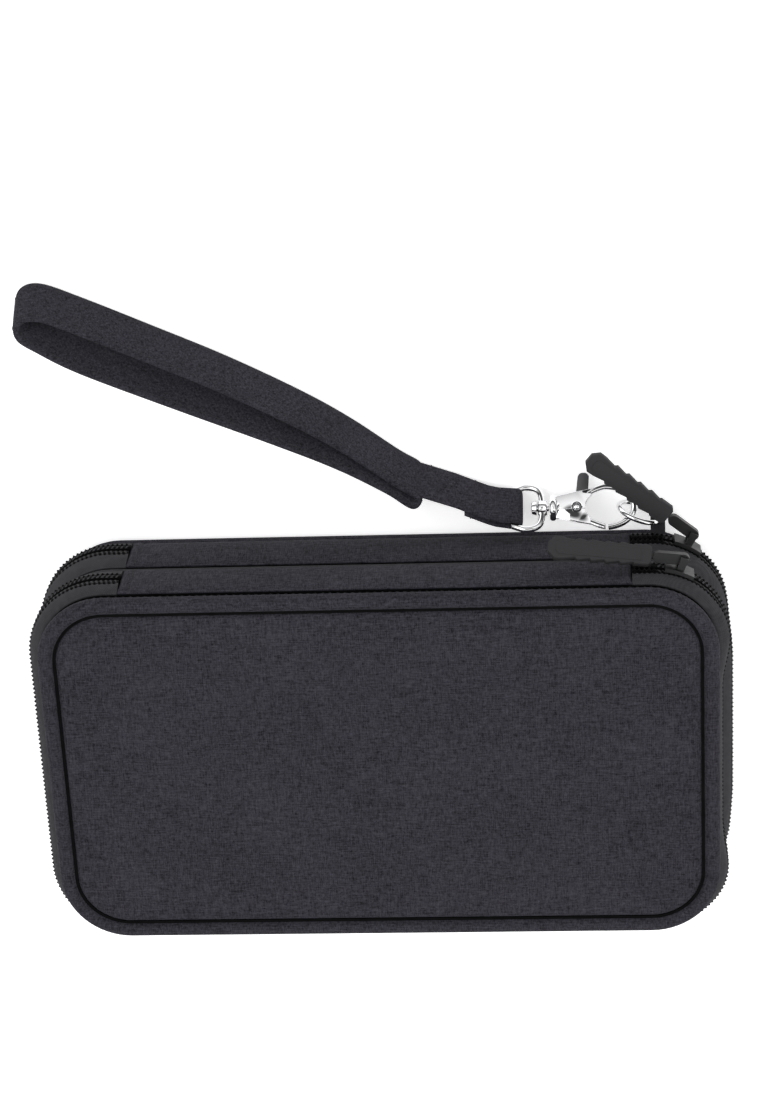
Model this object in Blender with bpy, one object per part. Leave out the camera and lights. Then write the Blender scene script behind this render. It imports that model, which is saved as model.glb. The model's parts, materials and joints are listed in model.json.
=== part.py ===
"""Two-compartment zip-round cable organizer pouch with a wrist strap on a swivel snap hook.

The pouch lies on its back panel: +Z leaves the front panel, +Y leaves the spine, and the origin is the centre
of the back panel's resting face. Sizes below are in millimetres; the objects are built in metres.
"""

import math

import bmesh
import bpy
from mathutils import Matrix, Vector

MM = 0.001
GAP = 0.3  # clearance between pieces that touch on the real pouch

# Pouch shell
HALF_LENGTH = 101.5  # outer face of the piping, along X
HALF_WIDTH = 58.0  # outer face of the piping, along Y
CORNER_RADIUS = 21.0
SIDE_BULGE = 3.5  # how far the zip stands out from the piping at the sides
SPINE_BULGE = 1.5  # the same at the spine, where the wall lies flat
PIPING_WIDTH = 5.0
REAR_DEPTH = 17.0  # wall of the rear compartment, from piping to divider
FRONT_DEPTH = 16.2
DIVIDER_EDGE = 2.1
TAPE_THICKNESS = 1.1
COIL_HEIGHT = 2.6  # one half of the zip chain, along Z
COIL_SPLIT = 1.2  # between the two halves
COIL_THICKNESS = 2.0
REAR_COIL_RISE = 6.95  # middle of the chain above the lower edge of its wall
FRONT_COIL_RISE = 8.45
FABRIC = 1.0
FOAM = 2.0
LINING = 0.6
BOARD = 0.8
PANEL_CROWN = 0.6
SPINE_ARC_GROWTH = 2.0  # how much wider the zip turns the corners beside the spine than the piping does
SPINE_HALF = HALF_LENGTH - 25.5  # the spine strips end here, and the zips begin
STRIP_THICKNESS = 1.2
CORNER_STEPS = 8

# Zip sliders and pulls
SLIDER_LENGTH = 8.5
SLIDER_PLATE = 1.2
REAR_SLIDER_ANGLE = 28.0  # round the corner, from the spine
FRONT_SLIDER_ANGLE = 20.0
ARC_RADIUS = CORNER_RADIUS + SPINE_ARC_GROWTH  # of the chain, at the corners beside the spine
ARC_X = HALF_LENGTH + SIDE_BULGE - ARC_RADIUS
ARC_Y = HALF_WIDTH + SPINE_BULGE - ARC_RADIUS
REAR_SLIDER_X = ARC_X + ARC_RADIUS * math.sin(math.radians(REAR_SLIDER_ANGLE))
PIN_OFFSET = 3.0  # pull pin beyond the slider's outer plate
PIN_RADIUS = 0.6
LINK_RADIUS = 1.7
LINK_THICKNESS = 2.0
LINK_LENGTH = 7.5
PULL_LENGTH = 30.5
PULL_WIDTH = 7.0
PULL_THICKNESS = 2.6
REAR_PULL_HEADING = 140.5  # degrees from +X
PULL_SIDE_X = REAR_SLIDER_X - PULL_WIDTH / 2 / math.sin(math.radians(REAR_PULL_HEADING))
FRONT_PULL_HEADING = 173.5
FRONT_PULL_TILT = 45.0

# Snap hook, in its own plane: u along the hook, v towards the pouch
HOOK_TILT = 30.0
HOOK_AXIS_Y = HALF_WIDTH + 10.1
HOOK_COLLAR_U = PULL_SIDE_X - 34.296  # U is measured along X
HOOK_RIVET_U = HOOK_COLLAR_U + 7.2
HOOK_EYE_U = HOOK_RIVET_U + 8.4
HOOK_EYE_LENGTH = 15.0
HOOK_EYE_WIDTH = 9.6
HOOK_WALL = 2.3
HOOK_THICKNESS = 3.0
COLLAR_RADIUS = 4.0
COLLAR_WIDTH = 1.8
NECK_RADIUS = 1.1
RIVET_RADIUS = 1.7
GATE_THICKNESS = 1.8
GATE_REACH = 10.8  # from the rivet to the gate's tip

# Ring, D-ring and strap
RING_CENTRE = (PULL_SIDE_X - 8.596, HALF_WIDTH + 8.0, 7.2)
RING_RADIUS = 6.2
RING_WIRE = 0.8
RING_HEADING = -21.0
TAB_WIDTH = 3.6
TAB_EYE = 1.3
TAB_THICKNESS = 0.9
STRAP_WIDTH = 13.4
STRAP_THICKNESS = 2.6
STRAP_LAYER = 1.4  # one layer of the sewn end
STRAP_LEAN = 36.0
STRAP_TUCK = 0.6  # the sewn end is this much narrower each side, inside the D-ring
STRAP_CLEARANCE = 0.65  # round the D-ring's bar
D_WIRE = 1.05
D_BAR_X = HOOK_COLLAR_U - 12.0
HUB_RADIUS = 2.5
HUB_WIDTH = 2.8
BORE_CLEARANCE = 0.08
PIN_HEAD_RADIUS = 2.3
PIN_HEAD = 1.6
D_DEPTH = 8.8
D_HEIGHT = 17.4

# Compartment fittings
ELASTIC = 0.9
REAR_LOOPS = 6
FRONT_LOOPS = 4
LOOP_HEIGHT = 8.0
LOOP_BAND = 24.0  # width of the elastic band
LOOP_MIDDLE_Y = 22.0
LOOP_HALF_X = HALF_LENGTH - 17.5
MESH = 0.6
HEM = 5.0
POCKET_MARGIN = 9.0
POCKET_TOP = 12.0
POCKET_CORNER = 12.0

# Levels worked out from the sizes above
PIPE_R = PIPING_WIDTH / 2
REAR_PIPE_Z = PIPE_R + 0.15
REAR_WALL_Z = REAR_PIPE_Z + PIPE_R + GAP
REAR_COIL_Z = REAR_WALL_Z + REAR_COIL_RISE
REAR_SEAM_Z = REAR_WALL_Z + REAR_DEPTH
DIVIDER_Z = REAR_SEAM_Z + GAP
FRONT_WALL_Z = DIVIDER_Z + DIVIDER_EDGE + GAP
FRONT_COIL_Z = FRONT_WALL_Z + FRONT_COIL_RISE
FRONT_SEAM_Z = FRONT_WALL_Z + FRONT_DEPTH
FRONT_PIPE_Z = FRONT_SEAM_Z + GAP + PIPE_R
PANEL_INSET = PIPING_WIDTH + GAP
WALL_INSET = TAPE_THICKNESS + GAP

COLOURS = {
    "heather_fabric": ((0.038, 0.037, 0.043), 0.9, 0.0),
    "zip_tape": ((0.028, 0.027, 0.031), 0.8, 0.0),
    "zip_coil": ((0.018, 0.018, 0.02), 0.45, 0.0),
    "lining": ((0.05, 0.05, 0.055), 0.85, 0.0),
    "foam_board": ((0.09, 0.09, 0.09), 0.95, 0.0),
    "elastic": ((0.02, 0.02, 0.022), 0.85, 0.0),
    "mesh": ((0.03, 0.03, 0.033), 0.8, 0.0),
    "rubber_pull": ((0.05, 0.05, 0.053), 0.6, 0.0),
    "black_metal": ((0.02, 0.02, 0.02), 0.35, 0.8),
    "chrome": ((0.8, 0.8, 0.8), 0.12, 1.0),
    "dark_metal": ((0.09, 0.09, 0.095), 0.4, 0.7),
}


def clear_scene():
    for obj in list(bpy.data.objects):
        bpy.data.objects.remove(obj)


def material(name):
    """The named Principled material, made on first use."""
    found = bpy.data.materials.get(name)
    if found:
        return found
    colour, roughness, metallic = COLOURS[name]
    made = bpy.data.materials.new(name)
    made.use_nodes = True
    shader = made.node_tree.nodes["Principled BSDF"]
    shader.inputs["Base Color"].default_value = (*colour, 1.0)
    shader.inputs["Roughness"].default_value = roughness
    shader.inputs["Metallic"].default_value = metallic
    made.diffuse_color = (*colour, 1.0)
    return made


def add_object(name, points, faces, finish):
    """A mesh object from points in millimetres, with its faces turned outwards."""
    mesh = bpy.data.meshes.new(name)
    mesh.from_pydata([Vector(point) * MM for point in points], [], faces)
    work = bmesh.new()
    work.from_mesh(mesh)
    bmesh.ops.recalc_face_normals(work, faces=work.faces)
    work.to_mesh(mesh)
    work.free()
    mesh.shade_smooth()
    mesh.set_sharp_from_angle(angle=math.radians(35))
    mesh.materials.append(material(finish))
    obj = bpy.data.objects.new(name, mesh)
    bpy.context.scene.collection.objects.link(obj)
    return obj


def grid(rings, closed):
    """Quads between equal rings of points; a closed run joins its last ring to its first, an open one is capped."""
    size = len(rings[0])
    points = [point for ring in rings for point in ring]
    count = len(rings) if closed else len(rings) - 1
    faces = []
    for i in range(count):
        here, there = i * size, (i + 1) % len(rings) * size
        for j in range(size):
            k = (j + 1) % size
            faces.append((here + j, here + k, there + k, there + j))
    if not closed:
        faces.append(tuple(range(size)))
        faces.append(tuple((len(rings) - 1) * size + j for j in range(size)))
    return points, faces


def corner_centre(index, bulge):
    """Centre and radius of one outline corner; corners 0 and 1 stand beside the spine, right then left."""
    at_spine = index < 2
    rise = SPINE_BULGE * bulge if at_spine else SIDE_BULGE * bulge
    reach = SIDE_BULGE * bulge
    radius = CORNER_RADIUS + (SPINE_ARC_GROWTH if at_spine else SIDE_BULGE) * bulge
    x = HALF_LENGTH + reach - radius
    y = HALF_WIDTH + rise - radius
    side = 1 if index in (0, 3) else -1
    return side * x, (y if at_spine else -y), radius


def corner(index, bulge, inset):
    """Points of one corner, clockwise from above."""
    x, y, radius = corner_centre(index, bulge)
    start = {0: 90.0, 3: 0.0, 2: -90.0, 1: 180.0}[index]
    made = []
    for step in range(CORNER_STEPS + 1):
        angle = math.radians(start - 90 * step / CORNER_STEPS)
        made.append((x + (radius - inset) * math.cos(angle), y + (radius - inset) * math.sin(angle)))
    return made


def outline(bulge=0.0, inset=0.0):
    """The whole rounded rectangle, clockwise from above."""
    return [point for index in (0, 3, 2, 1) for point in corner(index, bulge, inset)]


def zip_path(bulge, inset):
    """The zip's way round, from the right corner's end through the far side to the left corner's end."""
    path = [corner(0, bulge, inset)[-1]]
    path += corner(3, bulge, inset)
    path += corner(2, bulge, inset)
    path.append(corner(1, bulge, inset)[0])
    return path


def end_path(side, bulge, inset):
    """The zip's way from the end of a spine strip round the corner beside it."""
    top = HALF_WIDTH + SPINE_BULGE * bulge - inset
    if side > 0:
        return [(SPINE_HALF + GAP, top)] + corner(0, bulge, inset)
    return corner(1, bulge, inset) + [(-SPINE_HALF - GAP, top)]


def whole_path(bulge, inset):
    right, left = end_path(1, bulge, inset), end_path(-1, bulge, inset)
    return right[:-1] + zip_path(bulge, inset) + left[1:]


def shortened(path, start, finish):
    """The path with its first or last point moved in by GAP, so that the next piece clears it."""
    made = [Vector(point) for point in path]
    if start:
        made[0] += (made[1] - made[0]).normalized() * GAP
    if finish:
        made[-1] += (made[-2] - made[-1]).normalized() * GAP
    return [tuple(point) for point in made]


def wall(name, section, path_of, finish, trim=(False, False)):
    """A wall swept along a path; section lists (bulge, inset, z) for its corners."""
    lines = [(shortened(path_of(bulge, inset), *trim), z) for bulge, inset, z in section]
    rings = [[(*line[i], z) for line, z in lines] for i in range(len(lines[0][0]))]
    add_object(name, *grid(rings, False), finish)


def tape_section(low, high, bulge_low, bulge_high):
    return [
        (bulge_low, 0.0, low),
        (bulge_high, 0.0, high),
        (bulge_high, TAPE_THICKNESS, high),
        (bulge_low, TAPE_THICKNESS, low),
    ]


def coil_section(low):
    return [
        (1.0, 0.3, low),
        (1.0, 0.0, low + COIL_HEIGHT / 2),
        (1.0, 0.3, low + COIL_HEIGHT),
        (1.0, COIL_THICKNESS, low + COIL_HEIGHT),
        (1.0, COIL_THICKNESS, low),
    ]


def plate(name, levels, finish, half_x=None, centre_y=None, half_y=None, radius=6.0):
    """A flat piece through (inset, z) levels of the pouch outline, or of a smaller rounded rectangle."""
    rings = []
    for inset, z in levels:
        if half_x is None:
            ring = outline(0.0, inset)
        else:
            ring = rounded_rectangle(half_x - inset, half_y - inset, radius)
            ring = [(x, y + centre_y) for x, y in ring]
        rings.append([(x, y, z) for x, y in ring])
    add_object(name, *grid(rings, False), finish)


def rounded_rectangle(half_x, half_y, radius, steps=4):
    ring = []
    for turn, (sx, sy) in enumerate(((1, 1), (-1, 1), (-1, -1), (1, -1))):
        for step in range(steps + 1):
            angle = math.radians(90 * turn + 90 * step / steps)
            x = sx * (half_x - radius) + radius * math.cos(angle)
            y = sy * (half_y - radius) + radius * math.sin(angle)
            ring.append((x, y))
    return ring


def piping(name, z):
    """The round welt along a panel's edge."""
    rings = []
    steps = 10
    for i in range(len(outline())):
        ring = []
        for step in range(steps):
            angle = 2 * math.pi * step / steps
            x, y = outline(0.0, PIPE_R - PIPE_R * math.cos(angle))[i]
            ring.append((x, y, z + PIPE_R * math.sin(angle)))
        rings.append(ring)
    add_object(name, *grid(rings, True), "heather_fabric")


def frame_ring(name, low, high, outer, inner, finish):
    """A flat frame that follows the outline between two insets."""
    corners = ((outer, low), (outer, high), (inner, high), (inner, low))
    lines = [(outline(0.0, inset), z) for inset, z in corners]
    rings = [[(*line[i], z) for line, z in lines] for i in range(len(lines[0][0]))]
    add_object(name, *grid(rings, True), finish)


def cylinder(name, radius, low, high, finish, place, sides=16, mid=None):
    """A turned pin along the local Z axis; mid is an optional (radius, z) list, and its last radius runs on."""
    stations = [(radius, low)] + (mid or []) + [(mid[-1][0] if mid else radius, high)]
    rings = []
    for size, z in stations:
        turns = [2 * math.pi * k / sides for k in range(sides)]
        rings.append([tuple(place @ Vector((size * math.cos(t), size * math.sin(t), z))) for t in turns])
    return add_object(name, *grid(rings, False), finish)


def extruded(name, ring, low, high, finish, place=Matrix(), hole=None):
    """A flat outline extruded along the local Z axis, with an optional hole that has as many points."""
    if hole is None:
        rings = [[tuple(place @ Vector((x, y, z))) for x, y in ring] for z in (low, high)]
        return add_object(name, *grid(rings, False), finish)
    rings = []
    for outer, inner in zip(ring, hole):
        quad = ((*outer, low), (*outer, high), (*inner, high), (*inner, low))
        rings.append([tuple(place @ Vector(point)) for point in quad])
    return add_object(name, *grid(rings, True), finish)


def tube(name, path, radius, finish, closed, sides=8):
    """A round wire along a flat path of 3-D points."""
    points = [Vector(point) for point in path]
    count = len(points)
    normal = (points[1] - points[0]).cross(points[count // 3] - points[0]).normalized()
    rings = []
    for i, point in enumerate(points):
        if closed:
            along = (points[(i + 1) % count] - points[i - 1]).normalized()
        else:
            along = (points[min(i + 1, count - 1)] - points[max(i - 1, 0)]).normalized()
        side = along.cross(normal).normalized()
        turns = [2 * math.pi * k / sides for k in range(sides)]
        rings.append([tuple(point + radius * (math.cos(t) * side + math.sin(t) * normal)) for t in turns])
    return add_object(name, *grid(rings, closed), finish)


def join(target, others):
    """Unites helper solids with the target by Boolean modifiers and hides the helpers."""
    for other in others:
        modifier = target.modifiers.new(other.name, "BOOLEAN")
        modifier.operation = "UNION"
        modifier.object = other
        other.hide_render = True
        other.display_type = "WIRE"


def cut(target, cutter):
    modifier = target.modifiers.new(cutter.name, "BOOLEAN")
    modifier.operation = "DIFFERENCE"
    modifier.object = cutter
    cutter.hide_render = True
    cutter.display_type = "WIRE"


def capsule(length, radius, steps=8):
    """An outline with round ends, from the origin to (length, 0)."""
    ring = []
    for centre, start in ((length, -90), (0.0, 90)):
        for step in range(steps + 1):
            angle = math.radians(start + 180 * step / steps)
            ring.append((centre + radius * math.cos(angle), radius * math.sin(angle)))
    return ring


def circle(radius, count, centre=(0.0, 0.0), start=-90.0):
    turns = [math.radians(start + 360 * k / count) for k in range(count)]
    return [(centre[0] + radius * math.cos(t), centre[1] + radius * math.sin(t)) for t in turns]


def build_panels():
    """Both panels: outer fabric, foam board and lining inside a ring of piping."""
    foam_low = FABRIC + GAP
    lining_low = foam_low + FOAM + GAP
    plate("back_panel", [(PANEL_INSET + 1, 0.0), (PANEL_INSET, 0.4), (PANEL_INSET, FABRIC)], "heather_fabric")
    plate("back_foam_board", [(PANEL_INSET, foam_low), (PANEL_INSET, foam_low + FOAM)], "foam_board")
    plate("back_lining", [(PANEL_INSET, lining_low), (PANEL_INSET, lining_low + LINING)], "lining")
    piping("back_piping", REAR_PIPE_Z)
    low = FRONT_SEAM_Z + GAP
    foam_low = low + LINING + GAP
    top = foam_low + FOAM + GAP
    plate("front_lining", [(PANEL_INSET, low), (PANEL_INSET, low + LINING)], "lining")
    plate("front_foam_board", [(PANEL_INSET, foam_low), (PANEL_INSET, foam_low + FOAM)], "foam_board")
    crown = [
        (PANEL_INSET, top),
        (PANEL_INSET, top + FABRIC / 2),
        (PANEL_INSET + 3, top + FABRIC),
        (PANEL_INSET + 12, top + FABRIC + PANEL_CROWN),
    ]
    plate("front_panel", crown, "heather_fabric")
    piping("front_piping", FRONT_PIPE_Z)


def build_divider():
    """The board between the compartments, bound round its edge and lined on both faces."""
    middle = DIVIDER_Z + DIVIDER_EDGE / 2
    frame_ring("divider_binding", DIVIDER_Z, DIVIDER_Z + DIVIDER_EDGE, 0.0, TAPE_THICKNESS, "zip_tape")
    low, high = middle - BOARD / 2, middle + BOARD / 2
    plate("divider_board", [(WALL_INSET, low), (WALL_INSET, high)], "foam_board")
    plate("divider_rear_lining", [(WALL_INSET, low - GAP - LINING), (WALL_INSET, low - GAP)], "lining")
    plate("divider_front_lining", [(WALL_INSET, high + GAP), (WALL_INSET, high + GAP + LINING)], "lining")


def build_zip(prefix, wall_z, seam_z, coil_z):
    """One zip: two tapes and two halves of chain, and the ends that flex beside the spine when it opens."""
    lower = coil_z - COIL_SPLIT / 2 - COIL_HEIGHT
    upper = coil_z + COIL_SPLIT / 2
    gap = GAP / 2
    wall(f"{prefix}_lower_tape", tape_section(wall_z, lower - gap, 0.0, 1.0), whole_path, "zip_tape")
    wall(f"{prefix}_lower_coil", coil_section(lower), whole_path, "zip_coil")
    both = (True, True)
    upper_tape = tape_section(upper + COIL_HEIGHT + gap, seam_z, 1.0, 0.0)
    wall(f"{prefix}_upper_tape", upper_tape, zip_path, "zip_tape", both)
    wall(f"{prefix}_upper_coil", coil_section(upper), zip_path, "zip_coil", both)
    for side, word in ((1, "right"), (-1, "left")):
        def path_of(bulge, inset, side=side):
            return end_path(side, bulge, inset)

        end_section = [
            (1.0, 0.3, upper),
            (1.0, 0.0, upper + COIL_HEIGHT / 2),
            (1.0, 0.0, upper + COIL_HEIGHT + gap),
            (0.0, 0.0, seam_z),
            (0.0, TAPE_THICKNESS, seam_z),
            (1.0, COIL_THICKNESS, upper + COIL_HEIGHT),
            (1.0, COIL_THICKNESS, upper),
        ]
        wall(f"{prefix}_zip_end_{word}", end_section, path_of, "zip_tape")
    strip = [(-SPINE_HALF, HALF_WIDTH), (SPINE_HALF, HALF_WIDTH)]
    strip += [(SPINE_HALF, HALF_WIDTH + STRIP_THICKNESS), (-SPINE_HALF, HALF_WIDTH + STRIP_THICKNESS)]
    extruded(f"{prefix}_spine_strip", strip, wall_z, seam_z, "heather_fabric")


def arc_band(inner, outer, middle, half_angle, steps=4):
    """A curved bar in plan about the origin; angles run clockwise from +Y."""
    ring = []
    for radius, way in ((outer, 1), (inner, -1)):
        for step in range(steps + 1):
            angle = math.radians(middle + way * (half_angle - 2 * half_angle * step / steps))
            ring.append((radius * math.sin(angle), radius * math.cos(angle)))
    return ring


def build_slider(prefix, coil_z, angle, heading, tilt):
    """A slider that clasps both halves of chain, its pull pin, and the moulded pull on its link."""
    place = Matrix.Translation((ARC_X, ARC_Y, coil_z))
    half_angle = math.degrees(SLIDER_LENGTH / 2 / ARC_RADIUS)
    half_height = COIL_SPLIT / 2 + COIL_HEIGHT - 0.1
    outer = ARC_RADIUS + GAP
    inner = ARC_RADIUS - COIL_THICKNESS - GAP
    outside = arc_band(outer, outer + SLIDER_PLATE, angle, half_angle)
    inside = arc_band(inner - SLIDER_PLATE, inner, angle, half_angle)
    neck = arc_band(inner - SLIDER_PLATE / 2, outer + SLIDER_PLATE / 2, angle, half_angle / 3, 2)
    body = extruded(f"{prefix}_slider", outside, -half_height, half_height, "black_metal", place)
    helpers = [extruded(f"{prefix}_slider_inner", inside, -half_height, half_height, "black_metal", place)]
    half_neck = COIL_SPLIT / 2 - GAP
    helpers.append(extruded(f"{prefix}_slider_neck", neck, -half_neck, half_neck, "black_metal", place))
    pin_radius = outer + SLIDER_PLATE + PIN_OFFSET
    turned = math.radians(angle)
    pin = Vector((pin_radius * math.sin(turned), pin_radius * math.cos(turned), 0))
    lug_in = LINK_THICKNESS / 2 + GAP
    lug = arc_band(outer + SLIDER_PLATE / 2, pin_radius + PIN_RADIUS * 1.6, angle, 2.4, 1)
    for word, low, high in (("low", -lug_in - 0.9, -lug_in), ("high", lug_in, lug_in + 0.9)):
        helpers.append(extruded(f"{prefix}_slider_lug_{word}", lug, low, high, "black_metal", place))
    pin_place = place @ Matrix.Translation(pin)
    reach = lug_in + 0.5
    helpers.append(cylinder(f"{prefix}_slider_pin", PIN_RADIUS, -reach, reach, "black_metal", pin_place, 10))
    join(body, helpers)
    aim = pin_place @ Matrix.Rotation(math.radians(heading), 4, "Z")
    half_link = LINK_THICKNESS / 2
    link = extruded(f"{prefix}_pull_link", capsule(LINK_LENGTH, LINK_RADIUS), -half_link, half_link, "black_metal", aim)
    cutter = cylinder(f"{prefix}_link_cutter", PIN_RADIUS + GAP, -half_link - 1, half_link + 1, "black_metal", aim, 12)
    cut(link, cutter)
    start = LINK_LENGTH + LINK_RADIUS + GAP
    tab_place = aim @ Matrix.Translation((start, 0, 0)) @ Matrix.Rotation(math.radians(tilt), 4, "X")
    half, end, nose = PULL_WIDTH / 2, PULL_LENGTH, 2.2
    ring = [(0, -half + 0.8), (0.8, -half), (end - nose, -half), (end, -half + nose), (end, half - nose)]
    ring += [(end - nose, half), (0.8, half), (0, half - 0.8)]
    thick = PULL_THICKNESS / 2
    extruded(f"{prefix}_pull_tab", ring, -thick, thick, "rubber_pull", tab_place)


def hook_place():
    """The hook's plane: local x is u, local y is v (towards the pouch), local z leaves the plane upwards."""
    tilt = math.radians(HOOK_TILT)
    u = Vector((1, 0, 0))
    v = Vector((0, -math.cos(tilt), math.sin(tilt)))
    n = Vector((0, math.sin(tilt), math.cos(tilt)))
    return Matrix.Translation((0, HOOK_AXIS_Y, d_middle_z())) @ Matrix((u, v, n)).transposed().to_4x4()


def eye_outline(grow):
    """The hook's eye as an outline in the hook's plane, grown by the wall; it tapers towards the rivet."""
    ring = []
    half_length = HOOK_EYE_LENGTH / 2 + grow
    half_width = HOOK_EYE_WIDTH / 2 + grow
    for step in range(28):
        angle = 2 * math.pi * step / 28
        x = math.cos(angle)
        taper = 1.0 if x > 0 else 1.0 - 0.3 * abs(x)
        ring.append((HOOK_EYE_U + half_length * x, half_width * math.sin(angle) * taper))
    return ring


def build_hook():
    """The snap hook: body with its collar, sprung gate with a thumb post, rivet, spring and swivel pin."""
    place = hook_place()
    half = HOOK_THICKNESS / 2
    eye_start = HOOK_EYE_U - HOOK_EYE_LENGTH / 2
    shank = [
        (HOOK_COLLAR_U + 0.5, -3.2),
        (eye_start + 2.5, -5.0),
        (eye_start + 2.5, 4.0),
        (HOOK_COLLAR_U + 0.5, 3.2),
    ]
    body = extruded("hook_body", eye_outline(HOOK_WALL), -half, half, "chrome", place, eye_outline(0.0))
    along = place @ Matrix.Translation((HOOK_COLLAR_U, 0, 0)) @ Matrix.Rotation(math.pi / 2, 4, "Y")
    join(body, [
        extruded("hook_shank", shank, -half - 0.2, half + 0.2, "chrome", place),
        cylinder("hook_collar", COLLAR_RADIUS, -COLLAR_WIDTH / 2, COLLAR_WIDTH / 2, "chrome", along, 16),
    ])
    gate_start = HOOK_RIVET_U - 2.4
    half_slot = GATE_THICKNESS / 2 + GAP
    window = [(gate_start + 1.0, 9.0), (gate_start + 1.0, 3.0)]
    window += [gate_tip(v, GATE_REACH + GAP) for v in (2.0, 4.0, 5.5, 7.0, 9.0)]
    cut(body, extruded("hook_gate_gap", window, -half - 1, half + 1, "chrome", place))
    lever = [(gate_start - 1.2, -7.5), (HOOK_RIVET_U + 4.6, -7.5), (HOOK_RIVET_U + 4.6, 4.2), (gate_start - 1.2, 4.2)]
    cut(body, extruded("hook_gate_slot", lever, -half_slot, half_slot, "chrome", place))
    rivet_place = place @ Matrix.Translation((HOOK_RIVET_U, 0, 0))
    bore = cylinder("hook_rivet_bore", RIVET_RADIUS * 0.6 + 0.05, -half - 1, half + 1, "chrome", rivet_place, 16)
    cut(body, bore)
    build_gate(place)
    head = RIVET_RADIUS
    shaft = RIVET_RADIUS * 0.6 - 0.05
    top = half + GAP
    mid = [(head, -top - 0.2), (head, -top), (shaft, -top), (shaft, top), (head, top), (head, top + 0.2)]
    mid.append((head * 0.8, top + 0.45))
    cylinder("gate_rivet", head * 0.8, -top - 0.5, top + 0.5, "chrome", rivet_place, 16, mid)
    spring_place = place @ Matrix.Translation((HOOK_RIVET_U, 0, 0))
    coil = circle(RIVET_RADIUS * 0.6 + 1.3, 16)
    core = circle(RIVET_RADIUS * 0.6 + 0.3, 16)
    extruded("gate_spring", coil, 0.5, half_slot - 0.1, "dark_metal", spring_place, core)
    hub_at = Matrix.Translation((D_BAR_X + D_DEPTH, HOOK_AXIS_Y, d_middle_z()))
    swivel = hub_at @ Matrix.Rotation(math.pi / 2, 4, "Y")
    head_top = -HUB_WIDTH / 2 - GAP
    collar = HOOK_COLLAR_U - COLLAR_WIDTH / 2 - D_BAR_X - D_DEPTH - GAP
    mid = [(PIN_HEAD_RADIUS, head_top), (NECK_RADIUS, head_top)]
    cylinder("swivel_pin", PIN_HEAD_RADIUS * 0.8, head_top - PIN_HEAD, collar, "chrome", swivel, 16, mid)


def gate_tip(v, reach):
    """The point at height v on the circle that the gate's tip sweeps about the rivet."""
    return HOOK_RIVET_U + math.sqrt(reach**2 - v**2), v


def build_gate(place):
    """The gate is a lever on the rivet: its arm closes the eye, and its post stands out on the far side."""
    half = GATE_THICKNESS / 2
    width = HOOK_EYE_WIDTH / 2
    arm = [
        (HOOK_RIVET_U - 1.6, 2.4),
        (HOOK_RIVET_U + 1.8, 0.9),
        (HOOK_RIVET_U + 2.4, width * 0.82),
        (HOOK_EYE_U - 1.0, width + 0.1),
        gate_tip(width + 0.1, GATE_REACH),
        gate_tip(width + HOOK_WALL / 2, GATE_REACH),
        gate_tip(width + HOOK_WALL, GATE_REACH),
        (HOOK_RIVET_U + 1.0, width + HOOK_WALL - 1.0),
    ]
    post = [(HOOK_RIVET_U + 0.4, -9.6), (HOOK_RIVET_U + 1.2, -10.4), (HOOK_RIVET_U + 3.0, -10.4)]
    post += [(HOOK_RIVET_U + 3.8, -9.6), (HOOK_RIVET_U + 3.4, -4.4), (HOOK_RIVET_U + 1.7, 0.0)]
    post += [(HOOK_RIVET_U - 1.6, 0.6), (HOOK_RIVET_U - 0.4, -4.4)]
    gate = extruded("hook_gate", arm, -half, 0.3, "dark_metal", place)
    join(gate, [
        extruded("hook_gate_post", post, -half, 0.3, "dark_metal", place),
        cylinder("hook_gate_hub", 2.6, -half, 0.3, "dark_metal",
                 place @ Matrix.Translation((HOOK_RIVET_U, 0, 0)), 16),
    ])
    bore_place = place @ Matrix.Translation((HOOK_RIVET_U, 0, 0))
    cut(gate, cylinder("hook_gate_bore", RIVET_RADIUS * 0.6 + 0.05, -3, 3, "dark_metal", bore_place, 16))


def build_elastic(name, base_z, count):
    """The loops' section along X, extruded over the band's width along Y."""
    half_x = LOOP_HALF_X
    pitch = 2 * half_x / count
    shares = (0.12, 0.17, 0.26, 0.38, 0.5, 0.62, 0.74, 0.83, 0.88)
    outer, inner = [(-half_x, base_z + ELASTIC)], [(-half_x, base_z)]
    for i in range(count):
        start = -half_x + i * pitch
        for share in shares:
            rise = max(math.sin(math.pi * (share - 0.12) / 0.76), 0.0) ** 0.5
            x = start + share * pitch
            shift = ELASTIC * (0.5 - share) * 2 * (1 if 0.12 < share < 0.88 else 0)
            outer.append((x, base_z + ELASTIC + LOOP_HEIGHT * rise))
            inner.append((x + shift, base_z + (LOOP_HEIGHT - 0.1) * rise))
    outer.append((half_x, base_z + ELASTIC))
    inner.append((half_x, base_z))
    rings = []
    low, high = LOOP_MIDDLE_Y - LOOP_BAND / 2, LOOP_MIDDLE_Y + LOOP_BAND / 2
    for (x_out, z_out), (x_in, z_in) in zip(outer, inner):
        rings.append([(x_out, low, z_out), (x_out, high, z_out), (x_in, high, z_in), (x_in, low, z_in)])
    add_object(name, *grid(rings, False), "elastic")


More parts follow.
